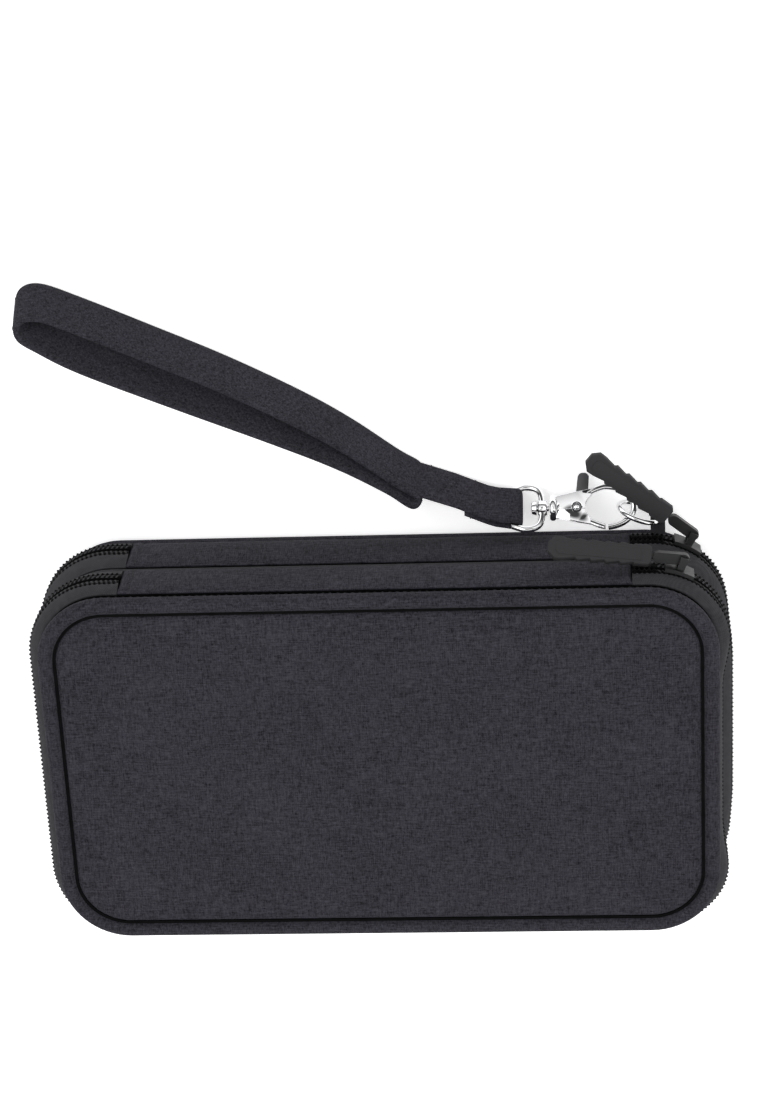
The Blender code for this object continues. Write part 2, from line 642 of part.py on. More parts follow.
def build_fittings():
    """Cable loops in both compartments, and a mesh pocket with an elastic hem on each lid's lining."""
    back_floor = FABRIC + FOAM + LINING + 3 * GAP
    build_elastic("rear_cable_loops", back_floor, REAR_LOOPS)
    divider_top = DIVIDER_Z + DIVIDER_EDGE / 2 + BOARD / 2 + LINING + 2 * GAP
    build_elastic("front_cable_loops", divider_top, FRONT_LOOPS)
    rear_ceiling = DIVIDER_Z + DIVIDER_EDGE / 2 - BOARD / 2 - LINING - 2 * GAP
    for prefix, ceiling in (("rear", rear_ceiling), ("front", FRONT_SEAM_Z)):
        high, low = ceiling, ceiling - MESH
        bottom, top = -HALF_WIDTH + POCKET_MARGIN, POCKET_TOP
        half_y = (top - bottom) / 2
        middle = (top + bottom) / 2
        half_x = HALF_LENGTH - POCKET_MARGIN
        plate(f"{prefix}_mesh_pocket", [(0.0, low), (0.0, high)], "mesh", half_x, middle, half_y, POCKET_CORNER)
        hem_y = top + GAP + HEM / 2
        size = (half_x, hem_y, HEM / 2, HEM / 2 - 0.2)
        plate(f"{prefix}_pocket_hem", [(0.0, low - 0.3), (0.0, high)], "elastic", *size)


def lean():
    """Direction of the strap's width: up, and leaning towards the pouch."""
    angle = math.radians(STRAP_LEAN)
    return Vector((0, -math.sin(angle), math.cos(angle)))


def d_middle_z():
    """Height of the D-ring's middle, with its lower end just clear of the table."""
    return D_HEIGHT / 2 * lean().z + 0.3


def leaning(name, outer, inner, half, finish):
    """A ring-shaped outline of 3-D points, swept both ways along the leaning direction."""
    rise = lean() * half
    rings = []
    for a, b in zip(outer, inner):
        a, b = Vector(a), Vector(b)
        rings.append([tuple(a - rise), tuple(a + rise), tuple(b + rise), tuple(b - rise)])
    return add_object(name, *grid(rings, True), finish)


def offset_loop(points, distance):
    """A closed plan loop moved sideways along its normals."""
    made = []
    count = len(points)
    for i in range(count):
        along = (Vector(points[(i + 1) % count]) - Vector(points[i - 1])).normalized()
        made.append((points[i][0] - along.y * distance, points[i][1] + along.x * distance))
    return made


def smooth_loop(points, steps=3):
    """A closed Catmull-Rom curve through the points."""
    made = []
    count = len(points)
    for i in range(count):
        a, b, c, d = (Vector(points[(i + k) % count]) for k in (-1, 0, 1, 2))
        for step in range(steps):
            t = step / steps
            point = b + (c - a) * t / 2 + (a - 2.5 * b + 2 * c - d / 2) * t * t
            point += (1.5 * b - 1.5 * c + d / 2 - a / 2) * t ** 3
            made.append(tuple(point))
    return made


# Plan route of the strap loop's middle line from the D-ring's bar, out along the far run and back
STRAP_ROUTE = [
    (-28.5, 9.1), (-35.0, 13.6), (-49.0, 24.2), (-63.5, 33.4), (-85.0, 45.0), (-107.0, 55.4), (-127.0, 64.6),
    (-138.6, 69.2), (-144.4, 68.0), (-145.0, 63.4), (-139.4, 58.0), (-127.0, 50.4), (-99.0, 38.2),
    (-71.5, 27.4), (-52.5, 19.4), (-38.0, 11.6), (-30.4, 6.3),
]
STRAP_END = (-29.0, 7.9)
STRAP_END_GAP = 5.6  # from there back to the end of the sewn fold


def squared(point, bar):
    """The point moved along the leaning direction until it is level with the bar's middle."""
    return point - lean() * (point - bar).dot(lean())


def build_strap():
    """The wrist strap's loop, and the sewn end folded round the D-ring's bar."""
    half = STRAP_WIDTH / 2
    bar = Vector((D_BAR_X, HOOK_AXIS_Y, d_middle_z()))
    loop = [(x + bar.x, y + bar.y) for x, y in smooth_loop(STRAP_ROUTE)]
    height = half * lean().z + 0.25
    sides = [offset_loop(loop, way * STRAP_THICKNESS / 2) for way in (-1, 1)]
    outer, inner = [[(x, y, height) for x, y in side] for side in sides]
    leaning("wrist_strap_loop", outer, inner, half, "heather_fabric")
    turn = Matrix.Rotation(math.atan2(STRAP_END[1], STRAP_END[0]), 3, "Z")
    eye = D_WIRE + STRAP_CLEARANCE
    outside = capsule(math.hypot(*STRAP_END) - STRAP_END_GAP, eye + STRAP_LAYER)
    hole = circle(eye, len(outside))
    outer = [bar + turn @ Vector((x, y, 0)) for x, y in outside]
    outer = [squared(point, bar) if x < 1 else point for point, (x, y) in zip(outer, outside)]
    inner = [squared(bar + turn @ Vector((x, y, 0)), bar) for x, y in hole]
    leaning("strap_end_fold", outer, inner, half - STRAP_TUCK, "heather_fabric")


def build_rings():
    """Tether ring, the webbing tab that holds it, and the D-ring between swivel and strap."""
    heading = math.radians(RING_HEADING)
    flat = Vector((math.cos(heading), math.sin(heading), 0))
    centre = Vector(RING_CENTRE)
    path = []
    for step in range(24):
        turn = 2 * math.pi * step / 24
        path.append(centre + RING_RADIUS * (math.cos(turn) * flat + math.sin(turn) * Vector((0, 0, 1))))
    tube("tether_ring", path, RING_WIRE, "chrome", True)
    eye = centre + RING_RADIUS * flat
    wall_y = HALF_WIDTH + SPINE_BULGE + GAP
    tail = eye.y - wall_y
    outside = capsule(tail - 0.01, TAB_EYE + TAB_THICKNESS)
    squared = [(min(x, tail), y) for x, y in outside]
    hole = circle(TAB_EYE, len(outside), (0, 0), -90.0)
    place = Matrix.Translation(eye) @ Matrix.Rotation(-math.pi / 2, 4, "Z")
    extruded("tether_tab", squared, -TAB_WIDTH / 2, TAB_WIDTH / 2, "zip_tape", place, hole)
    build_d_ring()


def build_d_ring():
    """The D-ring: a straight bar along the strap's width, a bow, and the hub that turns on the swivel pin."""
    bar = Vector((D_BAR_X, HOOK_AXIS_Y, d_middle_z()))
    up = lean()
    out = Vector((1, 0, 0))
    half = D_HEIGHT / 2 - D_WIRE
    path = [bar - up * half * 0.86, bar + up * half * 0.86]
    for step in range(13):
        turn = math.pi * (0.42 - 0.84 * step / 12)
        path.append(bar + out * D_DEPTH * math.cos(turn) + up * half * math.sin(turn))
    ring = tube("d_ring", path, D_WIRE, "chrome", True)
    hub_at = bar + out * D_DEPTH
    along = Matrix.Translation(hub_at) @ Matrix.Rotation(math.pi / 2, 4, "Y")
    join(ring, [cylinder("d_ring_hub", HUB_RADIUS, -HUB_WIDTH / 2, HUB_WIDTH / 2, "chrome", along, 16)])
    bore = NECK_RADIUS + BORE_CLEARANCE
    cut(ring, cylinder("d_ring_bore", bore, -HUB_WIDTH, HUB_WIDTH, "chrome", along, 16))


def main():
    clear_scene()
    build_panels()
    build_divider()
    build_zip("rear", REAR_WALL_Z, REAR_SEAM_Z, REAR_COIL_Z)
    build_zip("front", FRONT_WALL_Z, FRONT_SEAM_Z, FRONT_COIL_Z)
    build_slider("rear", REAR_COIL_Z, REAR_SLIDER_ANGLE, REAR_PULL_HEADING, 0.0)
    build_slider("front", FRONT_COIL_Z, FRONT_SLIDER_ANGLE, FRONT_PULL_HEADING, FRONT_PULL_TILT)
    build_fittings()
    build_hook()
    build_rings()
    build_strap()


main()
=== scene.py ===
"""Looks of the cable organizer pouch: heathered fabric, zips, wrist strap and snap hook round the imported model."""

import json
import logging
import math
from dataclasses import dataclass, field
from enum import Enum
from typing import Iterable, Sequence

import bmesh
import bpy
from mathutils import Matrix, Vector, noise


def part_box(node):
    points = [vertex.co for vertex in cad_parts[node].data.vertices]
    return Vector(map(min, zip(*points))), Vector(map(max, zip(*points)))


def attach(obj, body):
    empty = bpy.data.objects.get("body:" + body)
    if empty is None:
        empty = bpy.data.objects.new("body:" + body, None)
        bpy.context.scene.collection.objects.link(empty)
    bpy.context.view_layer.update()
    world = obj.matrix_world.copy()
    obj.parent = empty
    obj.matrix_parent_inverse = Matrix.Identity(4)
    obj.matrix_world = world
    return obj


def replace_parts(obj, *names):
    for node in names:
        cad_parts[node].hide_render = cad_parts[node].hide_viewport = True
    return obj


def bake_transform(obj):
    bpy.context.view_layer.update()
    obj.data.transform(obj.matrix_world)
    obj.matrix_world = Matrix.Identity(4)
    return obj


LOG = logging.getLogger("pouch")
MM = 0.001
Point = tuple[float, float, float]
Plan = tuple[float, float]


class Finish(Enum):
    """The record's material slots."""

    HEATHER = "heather_fabric"
    TAPE = "zip_tape"
    COIL_AND_SEAM_SHADOW = "zip_coil"
    LINING = "lining"
    FOAM = "foam_board"
    ELASTIC = "elastic"
    MESH = "mesh"
    RUBBER = "rubber_pull"
    BLACK_METAL = "black_metal"
    CHROME = "chrome"
    DARK_METAL = "dark_metal"


# ---------------------------------------------------------------------------------------------------- shader groups


class Graph:
    """A thin helper that places and links nodes in one node tree."""

    def __init__(self, tree: bpy.types.NodeTree) -> None:
        """Wraps the node tree to build in."""
        self.tree = tree

    def link(self, source: bpy.types.NodeSocket, target: bpy.types.NodeSocket) -> None:
        """Joins an output to an input."""
        self.tree.links.new(source, target)

    def add(self, kind: str, settings: dict | None = None, **inputs) -> bpy.types.Node:
        """Adds a node, sets its properties, and fills or links its inputs.

        An input is named with underscores for spaces, or by its index as i0, i1 and so on.
        """
        node = self.tree.nodes.new(kind)
        for key, value in (settings or {}).items():
            setattr(node, key, value)
        for key, value in inputs.items():
            numbered = key[0] == "i" and key[1:].isdigit()
            socket = node.inputs[int(key[1:])] if numbered else node.inputs[key.replace("_", " ")]
            if isinstance(value, bpy.types.NodeSocket):
                self.link(value, socket)
            else:
                socket.default_value = value
        return node

    def math(self, operation: str, first, second=0.0) -> bpy.types.NodeSocket:
        """A Math node's result for two values or sockets."""
        return self.add("ShaderNodeMath", {"operation": operation}, i0=first, i1=second).outputs[0]

    def plus(self, first, second) -> bpy.types.NodeSocket:
        """The sum of two values or sockets."""
        return self.math("ADD", first, second)

    def minus(self, first, second) -> bpy.types.NodeSocket:
        """The difference of two values or sockets."""
        return self.math("SUBTRACT", first, second)

    def times(self, first, second) -> bpy.types.NodeSocket:
        """The product of two values or sockets."""
        return self.math("MULTIPLY", first, second)

    def place(self) -> bpy.types.NodeSocket:
        """The place on the object."""
        return self.add("ShaderNodeTexCoord").outputs["Object"]

    def stretch(self, vector: bpy.types.NodeSocket, scale: Point) -> bpy.types.NodeSocket:
        """The vector multiplied by a scale for each axis."""
        return self.add("ShaderNodeVectorMath", {"operation": "MULTIPLY"}, i0=vector, i1=scale).outputs[0]

    def noise(self, vector: bpy.types.NodeSocket, scale: float, detail: float = 2.0) -> bpy.types.NodeSocket:
        """A noise value between 0 and 1."""
        return self.add("ShaderNodeTexNoise", None, Vector=vector, Scale=scale, Detail=detail).outputs[0]

    def wave(self, axis_value: bpy.types.NodeSocket, pitch: float) -> bpy.types.NodeSocket:
        """A sine of a coordinate with the given pitch in metres."""
        return self.math("SINE", self.times(axis_value, 2 * math.pi / pitch))

    def ramp(self, value: bpy.types.NodeSocket, low: float, high: float, start: float, end: float):
        """Maps a value from low..high to start..end, clamped."""
        return self.add("ShaderNodeMapRange", None, i0=value, i1=low, i2=high, i3=start, i4=end).outputs[0]

    def mix(self, factor, first, second) -> bpy.types.NodeSocket:
        """A colour between two colours."""
        node = self.add("ShaderNodeMix", {"data_type": "RGBA"})
        for index, value in ((0, factor), (6, first), (7, second)):
            if isinstance(value, bpy.types.NodeSocket):
                self.link(value, node.inputs[index])
            else:
                node.inputs[index].default_value = value
        return node.outputs[2]


def new_group(name: str, inputs: Sequence[tuple[str, str, object]], outputs: Sequence[tuple[str, str]]):
    """Makes a shader node group from (name, type, default) inputs and (name, type) outputs.

    Returns:
        The graph, the group's input node and its output node.
    """
    tree = bpy.data.node_groups.new(name, "ShaderNodeTree")
    for label, kind, default in inputs:
        socket = tree.interface.new_socket(label, in_out="INPUT", socket_type=kind)
        socket.default_value = default
    for label, kind in outputs:
        tree.interface.new_socket(label, in_out="OUTPUT", socket_type=kind)
    graph = Graph(tree)
    return graph, graph.add("NodeGroupInput"), graph.add("NodeGroupOutput")


COLOUR, NUMBER = "NodeSocketColor", "NodeSocketFloat"


def heather_group() -> bpy.types.NodeTree:
    """Heathered cloth: a plain weave with light and dark slubs that run along its threads."""
    inputs = [
        ("Color", COLOUR, (0.04, 0.04, 0.045, 1)), ("Fleck", NUMBER, 0.5), ("Pitch", NUMBER, 0.0006),
    ]
    graph, given, result = new_group("heathered_weave", inputs, [("Color", COLOUR), ("Height", NUMBER)])
    place = graph.place()
    streaks = None
    for scale in ((330.0, 2300.0, 2300.0), (2300.0, 380.0, 2300.0), (2000.0, 2000.0, 380.0)):
        streak = graph.noise(graph.stretch(place, scale), 1.0, 3.0)
        centred = graph.minus(streak, 0.5)
        streaks = centred if streaks is None else graph.plus(streaks, centred)
    cloud = graph.minus(graph.noise(place, 55.0, 3.0), 0.5)
    tone = graph.plus(graph.times(streaks, 1.5), graph.times(cloud, 0.35))
    tone = graph.times(tone, given.outputs["Fleck"])
    split = graph.add("ShaderNodeSeparateXYZ", None, i0=place)
    rate = graph.math("DIVIDE", 2 * math.pi, given.outputs["Pitch"])
    waves = [graph.math("SINE", graph.times(axis, rate)) for axis in split.outputs]
    weave = graph.times(waves[0], waves[1])
    for a, b in ((0, 2), (1, 2)):
        weave = graph.plus(weave, graph.times(waves[a], waves[b]))
    shade = graph.plus(graph.times(tone, 1.0), graph.times(weave, 0.07))
    factor = graph.ramp(shade, -0.5, 0.5, 0.0, 1.0)
    dark = graph.mix(0.72, given.outputs["Color"], (0.0, 0.0, 0.0, 1))
    light = graph.add("ShaderNodeMix", {"data_type": "RGBA", "blend_type": "ADD"}, i0=1.0)
    for index in (6, 7):
        graph.link(given.outputs["Color"], light.inputs[index])
    graph.link(graph.mix(factor, dark, light.outputs[2]), result.inputs["Color"])
    height = graph.plus(graph.times(weave, 0.35), graph.times(streaks, 0.9))
    graph.link(height, result.inputs["Height"])
    return graph.tree


def rib_group() -> bpy.types.NodeTree:
    """Narrow woven goods: fine ribs across the coordinate axes with a faint mottling."""
    inputs = [("Color", COLOUR, (0.03, 0.03, 0.03, 1)), ("Pitch", NUMBER, 0.0008), ("Mottle", NUMBER, 0.3)]
    graph, given, result = new_group("woven_ribs", inputs, [("Color", COLOUR), ("Height", NUMBER)])
    place = graph.place()
    split = graph.add("ShaderNodeSeparateXYZ", None, i0=place)
    rate = graph.math("DIVIDE", 2 * math.pi, given.outputs["Pitch"])
    along = graph.plus(split.outputs[0], split.outputs[1])
    slanted = graph.plus(along, split.outputs[2])
    ribs = graph.math("SINE", graph.times(slanted, rate))
    across = graph.math("SINE", graph.times(split.outputs[2], graph.times(rate, 1.3)))
    height = graph.plus(ribs, graph.times(across, 0.5))
    mottle = graph.minus(graph.noise(place, 420.0, 3.0), 0.5)
    tone = graph.times(mottle, given.outputs["Mottle"])
    tone = graph.plus(tone, graph.times(height, 0.05))
    factor = graph.ramp(tone, -0.4, 0.4, 0.0, 0.8)
    dark = graph.mix(0.45, given.outputs["Color"], (0.0, 0.0, 0.0, 1))
    light = graph.mix(0.08, given.outputs["Color"], (0.6, 0.6, 0.62, 1))
    graph.link(graph.mix(factor, dark, light), result.inputs["Color"])
    graph.link(height, result.inputs["Height"])
    return graph.tree


def scuff_group() -> bpy.types.NodeTree:
    """Handling marks on metal and rubber: a roughness that varies, a darker grime and fine scratches."""
    inputs = [("Color", COLOUR, (0.5, 0.5, 0.5, 1)), ("Roughness", NUMBER, 0.2), ("Scuff", NUMBER, 0.2)]
    outputs = [("Color", COLOUR), ("Roughness", NUMBER), ("Height", NUMBER)]
    graph, given, result = new_group("handling_scuffs", inputs, outputs)
    place = graph.place()
    blotch = graph.noise(place, 260.0, 4.0)
    scratch = graph.noise(graph.stretch(place, (300.0, 5200.0, 5200.0)), 1.0, 2.0)
    marks = graph.times(graph.ramp(scratch, 0.58, 0.7, 0.0, 1.0), given.outputs["Scuff"])
    spread = graph.times(graph.minus(blotch, 0.5), given.outputs["Scuff"])
    rough = graph.plus(given.outputs["Roughness"], graph.plus(spread, graph.times(marks, 0.4)))
    grime = graph.times(graph.ramp(blotch, 0.35, 0.7, 0.6, 0.0), given.outputs["Scuff"])
    graph.link(graph.mix(grime, given.outputs["Color"], (0.02, 0.02, 0.02, 1)), result.inputs["Color"])
    graph.link(rough, result.inputs["Roughness"])
    graph.link(graph.plus(blotch, marks), result.inputs["Height"])
    return graph.tree


class Surface(Enum):
    """The effect that a material's colour and height come from."""

    WEAVE = "heathered_weave"
    RIBS = "woven_ribs"
    SCUFFS = "handling_scuffs"


@dataclass(frozen=True)
class Coating:
    """One finish: its colour, its shader values and the effect that varies it."""

    finish: Finish
    surface: Surface
    colour: Point
    roughness: float
    metallic: float = 0.0
    sheen: float = 0.0
    specular: float = 0.5
    pitch: float = 0.0006
    strength: float = 0.4
    relief: float = 0.00005
    holes: bool = False

    def make(self) -> bpy.types.Material:
        """Builds the material, with its Principled BSDF outside the shared group."""
        made = bpy.data.materials.new(self.finish.value + "_look")
        made.use_nodes = True
        made.node_tree.nodes.clear()
        graph = Graph(made.node_tree)
        colour = (*self.colour, 1.0)
        effect = graph.add("ShaderNodeGroup", {"node_tree": bpy.data.node_groups[self.surface.value]}, Color=colour)
        shader = graph.add("ShaderNodeBsdfPrincipled", None, Roughness=self.roughness, Metallic=self.metallic)
        shader.inputs["Sheen Weight"].default_value = self.sheen
        shader.inputs["Sheen Roughness"].default_value = 0.55
        shader.inputs["Specular IOR Level"].default_value = self.specular
        if self.surface is Surface.WEAVE:
            effect.inputs["Fleck"].default_value = self.strength
            effect.inputs["Pitch"].default_value = self.pitch
        elif self.surface is Surface.RIBS:
            effect.inputs["Pitch"].default_value = self.pitch
            effect.inputs["Mottle"].default_value = self.strength
        else:
            effect.inputs["Roughness"].default_value = self.roughness
            effect.inputs["Scuff"].default_value = self.strength
            graph.link(effect.outputs["Roughness"], shader.inputs["Roughness"])
        graph.link(effect.outputs["Color"], shader.inputs["Base Color"])
        bump = graph.add("ShaderNodeBump", None, Strength=0.8, Distance=self.relief, Height=effect.outputs["Height"])
        graph.link(bump.outputs[0], shader.inputs["Normal"])
        if self.holes:
            self.open_holes(graph, shader)
        output = graph.add("ShaderNodeOutputMaterial")
        graph.link(shader.outputs[0], output.inputs[0])
        made.diffuse_color = colour
        return made

    def open_holes(self, graph: Graph, shader: bpy.types.Node) -> None:
        """Opens a net's holes through the shader's Alpha input."""
        place = graph.place()
        split = graph.add("ShaderNodeSeparateXYZ", None, i0=place)
        net = graph.times(graph.wave(split.outputs[0], 0.0024), graph.wave(split.outputs[1], 0.0024))
        alpha = graph.ramp(graph.math("ABSOLUTE", net), 0.3, 0.42, 1.0, 0.0)
        graph.link(alpha, shader.inputs["Alpha"])


COATINGS = (
    Coating(Finish.HEATHER, Surface.WEAVE, (0.0252, 0.0243, 0.0305), 0.92, sheen=0.012, specular=0.1, strength=0.75),
    Coating(Finish.TAPE, Surface.RIBS, (0.0225, 0.0216, 0.0258), 0.8, sheen=0.01, specular=0.12, pitch=0.0007,
            relief=0.00003),
    # Near-black of the real coil and its stitches, and also the painted shadow strip in the panel seams. It is
    # darkened and made less shiny for that shadow.
    Coating(Finish.COIL_AND_SEAM_SHADOW, Surface.SCUFFS, (0.0012, 0.0012, 0.0014), 0.7, specular=0.05, strength=0.12,
            relief=0.00002),
    Coating(Finish.LINING, Surface.WEAVE, (0.05, 0.05, 0.054), 0.85, sheen=0.02, specular=0.2, pitch=0.0004,
            strength=0.3),
    Coating(Finish.FOAM, Surface.RIBS, (0.09, 0.09, 0.09), 0.95, specular=0.1, strength=0.6),
    Coating(Finish.ELASTIC, Surface.RIBS, (0.018, 0.018, 0.02), 0.8, sheen=0.02, specular=0.2, pitch=0.0014,
            relief=0.0001),
    Coating(Finish.MESH, Surface.RIBS, (0.026, 0.026, 0.028), 0.8, specular=0.2, pitch=0.0005, holes=True),
    Coating(Finish.RUBBER, Surface.SCUFFS, (0.031, 0.0305, 0.0325), 0.7, specular=0.2, strength=0.25,
            relief=0.00004),
    Coating(Finish.BLACK_METAL, Surface.SCUFFS, (0.018, 0.018, 0.019), 0.42, metallic=0.4, specular=0.4,
            strength=0.3, relief=0.00002),
    Coating(Finish.CHROME, Surface.SCUFFS, (0.8, 0.8, 0.81), 0.05, metallic=1.0, strength=0.06, relief=0.000006),
    Coating(Finish.DARK_METAL, Surface.SCUFFS, (0.085, 0.085, 0.088), 0.42, metallic=0.75, strength=0.25,
            relief=0.00001),
)


# ------------------------------------------------------------------------------------------------------ mesh forms


@dataclass
class Form:
    """A mesh in the making, in millimetres."""

    points: list[Point] = field(default_factory=list)
    faces: list[tuple[int, ...]] = field(default_factory=list)

    def add(self, points: Iterable[Sequence[float]], faces: Iterable[Sequence[int]]) -> None:
        """Adds points and the faces that count from the first of them."""
        base = len(self.points)
        self.points += [tuple(point) for point in points]
        self.faces += [tuple(base + index for index in face) for face in faces]

    def loft(self, rings: Sequence[Sequence[Sequence[float]]], closed: bool = False) -> None:
        """Joins equal closed sections with quads, in a loop if closed and with capped ends if not."""
        size, count = len(rings[0]), len(rings)
        faces: list[tuple[int, ...]] = []
        for i in range(count if closed else count - 1):
            here, there = i * size, (i + 1) % count * size
            for j in range(size):
                k = (j + 1) % size
                faces.append((here + j, here + k, there + k, there + j))
        if not closed:
            faces.append(tuple(range(size)))
            faces.append(tuple((count - 1) * size + j for j in range(size)))
        self.add([point for ring in rings for point in ring], faces)

    def bump(self, middle: Vector, along: Vector, across: Vector, size: Point) -> None:
        """A small rounded stud, such as a stitch or a coil turn, with its length, width and height."""
        out = along.cross(across)
        rim = []
        for step in range(8):
            turn = math.tau * step / 8
            rim.append(middle + along * (size[0] / 2 * math.cos(turn)) + across * (size[1] / 2 * math.sin(turn)))
        faces = [(j, (j + 1) % 8, 8) for j in range(8)] + [((j + 1) % 8, j, 9) for j in range(8)]
        self.add(rim + [middle + out * size[2], middle - out * size[2]], faces)

    def make(self, name: str, finish: Finish, body: str, sharp: float = 40.0) -> bpy.types.Object:
        """Turns the form into a piece that rides on a body.

        Args:
            name: the piece's name.
            finish: its finish.
            body: the body that it rides on; empty for a piece that the caller attaches afterwards, or leaves
                unattached.
            sharp: edges that turn more than this many degrees stay sharp.
        """
        mesh = bpy.data.meshes.new(name)
        mesh.from_pydata([Vector(point) * MM for point in self.points], [], self.faces)
        work = bmesh.new()
        work.from_mesh(mesh)
        bmesh.ops.recalc_face_normals(work, faces=work.faces)
        work.to_mesh(mesh)
        work.free()
        mesh.shade_smooth()
        mesh.set_sharp_from_angle(angle=math.radians(sharp))
        mesh.materials.append(bpy.data.materials[finish.value + "_look"])
        made = bpy.data.objects.new(name, mesh)
        bpy.context.scene.collection.objects.link(made)
        if body:
            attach(made, body)
        LOG.info("%s: %d points", name, len(self.points))
        return made


def spaced(path: Sequence[Sequence[float]], pitch: float, closed: bool = False) -> Iterable[tuple[Vector, Vector]]:
    """Walks a path at an even pitch and yields each place with the path's direction there."""
    points = [Vector(point) for point in path]
    if closed:
        points.append(points[0])
    due = pitch / 2
    for here, there in zip(points, points[1:]):
        length = (there - here).length
        while due < length:
            yield here.lerp(there, due / length), (there - here).normalized()
            due += pitch
        due -= length


def offset(outline: Sequence[Plan], distance: float) -> list[Plan]:
    """A closed plan outline moved sideways along its normals."""
    made = []
    count = len(outline)
    for i in range(count):
        along = (Vector(outline[(i + 1) % count]) - Vector(outline[i - 1])).normalized()
        made.append((outline[i][0] - along.y * distance, outline[i][1] + along.x * distance))
    return made


def turning(outline: Sequence[Plan]) -> float:
    """1 for an anticlockwise outline and -1 for a clockwise one."""
    area = sum(a[0] * b[1] - b[0] * a[1] for a, b in zip(outline, list(outline[1:]) + [outline[0]]))
    return math.copysign(1.0, area)


def rounded_prism(form: Form, outline: Sequence[Plan], low: float, high: float, edge: float, place: Matrix) -> None:
    """Adds a plate with softened edges.

    Args:
        form: the form to add to.
        outline: its outline in its own plane.
        low: its lower face, across the plane.
        high: its upper face.
        edge: radius of its softened edges.
        place: from its plane to the pouch.
    """
    inward = turning(outline)
    levels = []
    for step in range(4):
        turn = math.pi / 2 * step / 3
        levels.append((edge * (1 - math.sin(turn)), low + edge * (1 - math.cos(turn))))
    levels += [(inset, high - (z - low)) for inset, z in reversed(levels)]
    rings = []
    for inset, z in levels:
        rings.append([place @ Vector((x, y, z)) for x, y in offset(outline, inset * inward)])
    form.loft(rings)


def turned(form: Form, profile: Sequence[Plan], place: Matrix, sides: int = 32) -> None:
    """Adds a turned shape along the local Z axis through (radius, z) stations."""
    rings = []
    for radius, z in profile:
        turns = [math.tau * k / sides for k in range(sides)]
        rings.append([place @ Vector((radius * math.cos(t), radius * math.sin(t), z)) for t in turns])
    form.loft(rings)


def tangents(path: Sequence[Vector], closed: bool) -> Iterable[tuple[Vector, Vector]]:
    """Yields each point of a path with the path's direction there."""
    count = len(path)
    for i, point in enumerate(path):
        before = path[i - 1] if closed or i else path[0]
        after = path[(i + 1) % count] if closed or i < count - 1 else path[-1]
        yield point, (after - before).normalized()


def squarish(
    sides: int, half_width: float, width_power: float, half_height: float, height_power: float
) -> list[Plan]:
    """An oval section that is squarer the smaller its powers are."""
    made = []
    for k in range(sides):
        c, s = math.cos(math.tau * k / sides), math.sin(math.tau * k / sides)
        across = math.copysign(abs(c) ** width_power, c) * half_width
        made.append((across, math.copysign(abs(s) ** height_power, s) * half_height))
    return made


def wire(form: Form, path: Sequence[Vector], radius: float, closed: bool, normal: Vector, sides: int = 18) -> None:
    """Adds a round wire along a flat path whose plane has the given normal."""
    rings = []
    for point, along in tangents(path, closed):
        side = along.cross(normal).normalized()
        turns = [math.tau * k / sides for k in range(sides)]
        rings.append([point + radius * (math.cos(t) * side + math.sin(t) * normal) for t in turns])
    form.loft(rings, closed)


def smooth_loop(points: Sequence[Plan], steps: int) -> list[Plan]:
    """A closed Catmull-Rom curve through plan points."""
    made = []
    count = len(points)
    for i in range(count):
        a, b, c, d = (Vector(points[(i + k) % count]) for k in (-1, 0, 1, 2))
        for step in range(steps):
            t = step / steps
            point = b + (c - a) * t / 2 + (a - 2.5 * b + 2 * c - d / 2) * t * t
            point += (1.5 * b - 1.5 * c + d / 2 - a / 2) * t**3
            made.append(tuple(point))
    return made


def smooth_step(value: float, low: float, high: float) -> float:
    """0 below low, 1 above high, and a smooth rise between them."""
    share = min(max((value - low) / (high - low), 0.0), 1.0)
    return share * share * (3.0 - 2.0 * share)


def ripple(point: Sequence[float], scale: float, amount: float) -> float:
    """Gentle unevenness of sewn cloth at a place, the same on every run."""
    return amount * noise.noise(Vector(point) / scale)


def refined(node: str, name: str, finish: Finish, body: str, width: float) -> bpy.types.Object:
    """A copy of a CAD node with joined flat faces and edges softened by a width, which stands for it."""
    work = bmesh.new()
    work.from_mesh(FRAME["nodes"][node].data)
    bmesh.ops.remove_doubles(work, verts=work.verts, dist=0.00001)
    flat = math.radians(4)
    bmesh.ops.dissolve_limit(work, angle_limit=flat, verts=work.verts, edges=work.edges)
    form = Form()
    form.add([vert.co / MM for vert in work.verts], [[vert.index for vert in face.verts] for face in work.faces])
    work.free()
    made = form.make(name, finish, body)
    bevel = made.modifiers.new("soft_edges", "BEVEL")
    bevel.width = width * MM
    bevel.segments = 3
    bevel.limit_method = "ANGLE"
    bevel.angle_limit = math.radians(40)
    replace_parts(made, node)
    return made


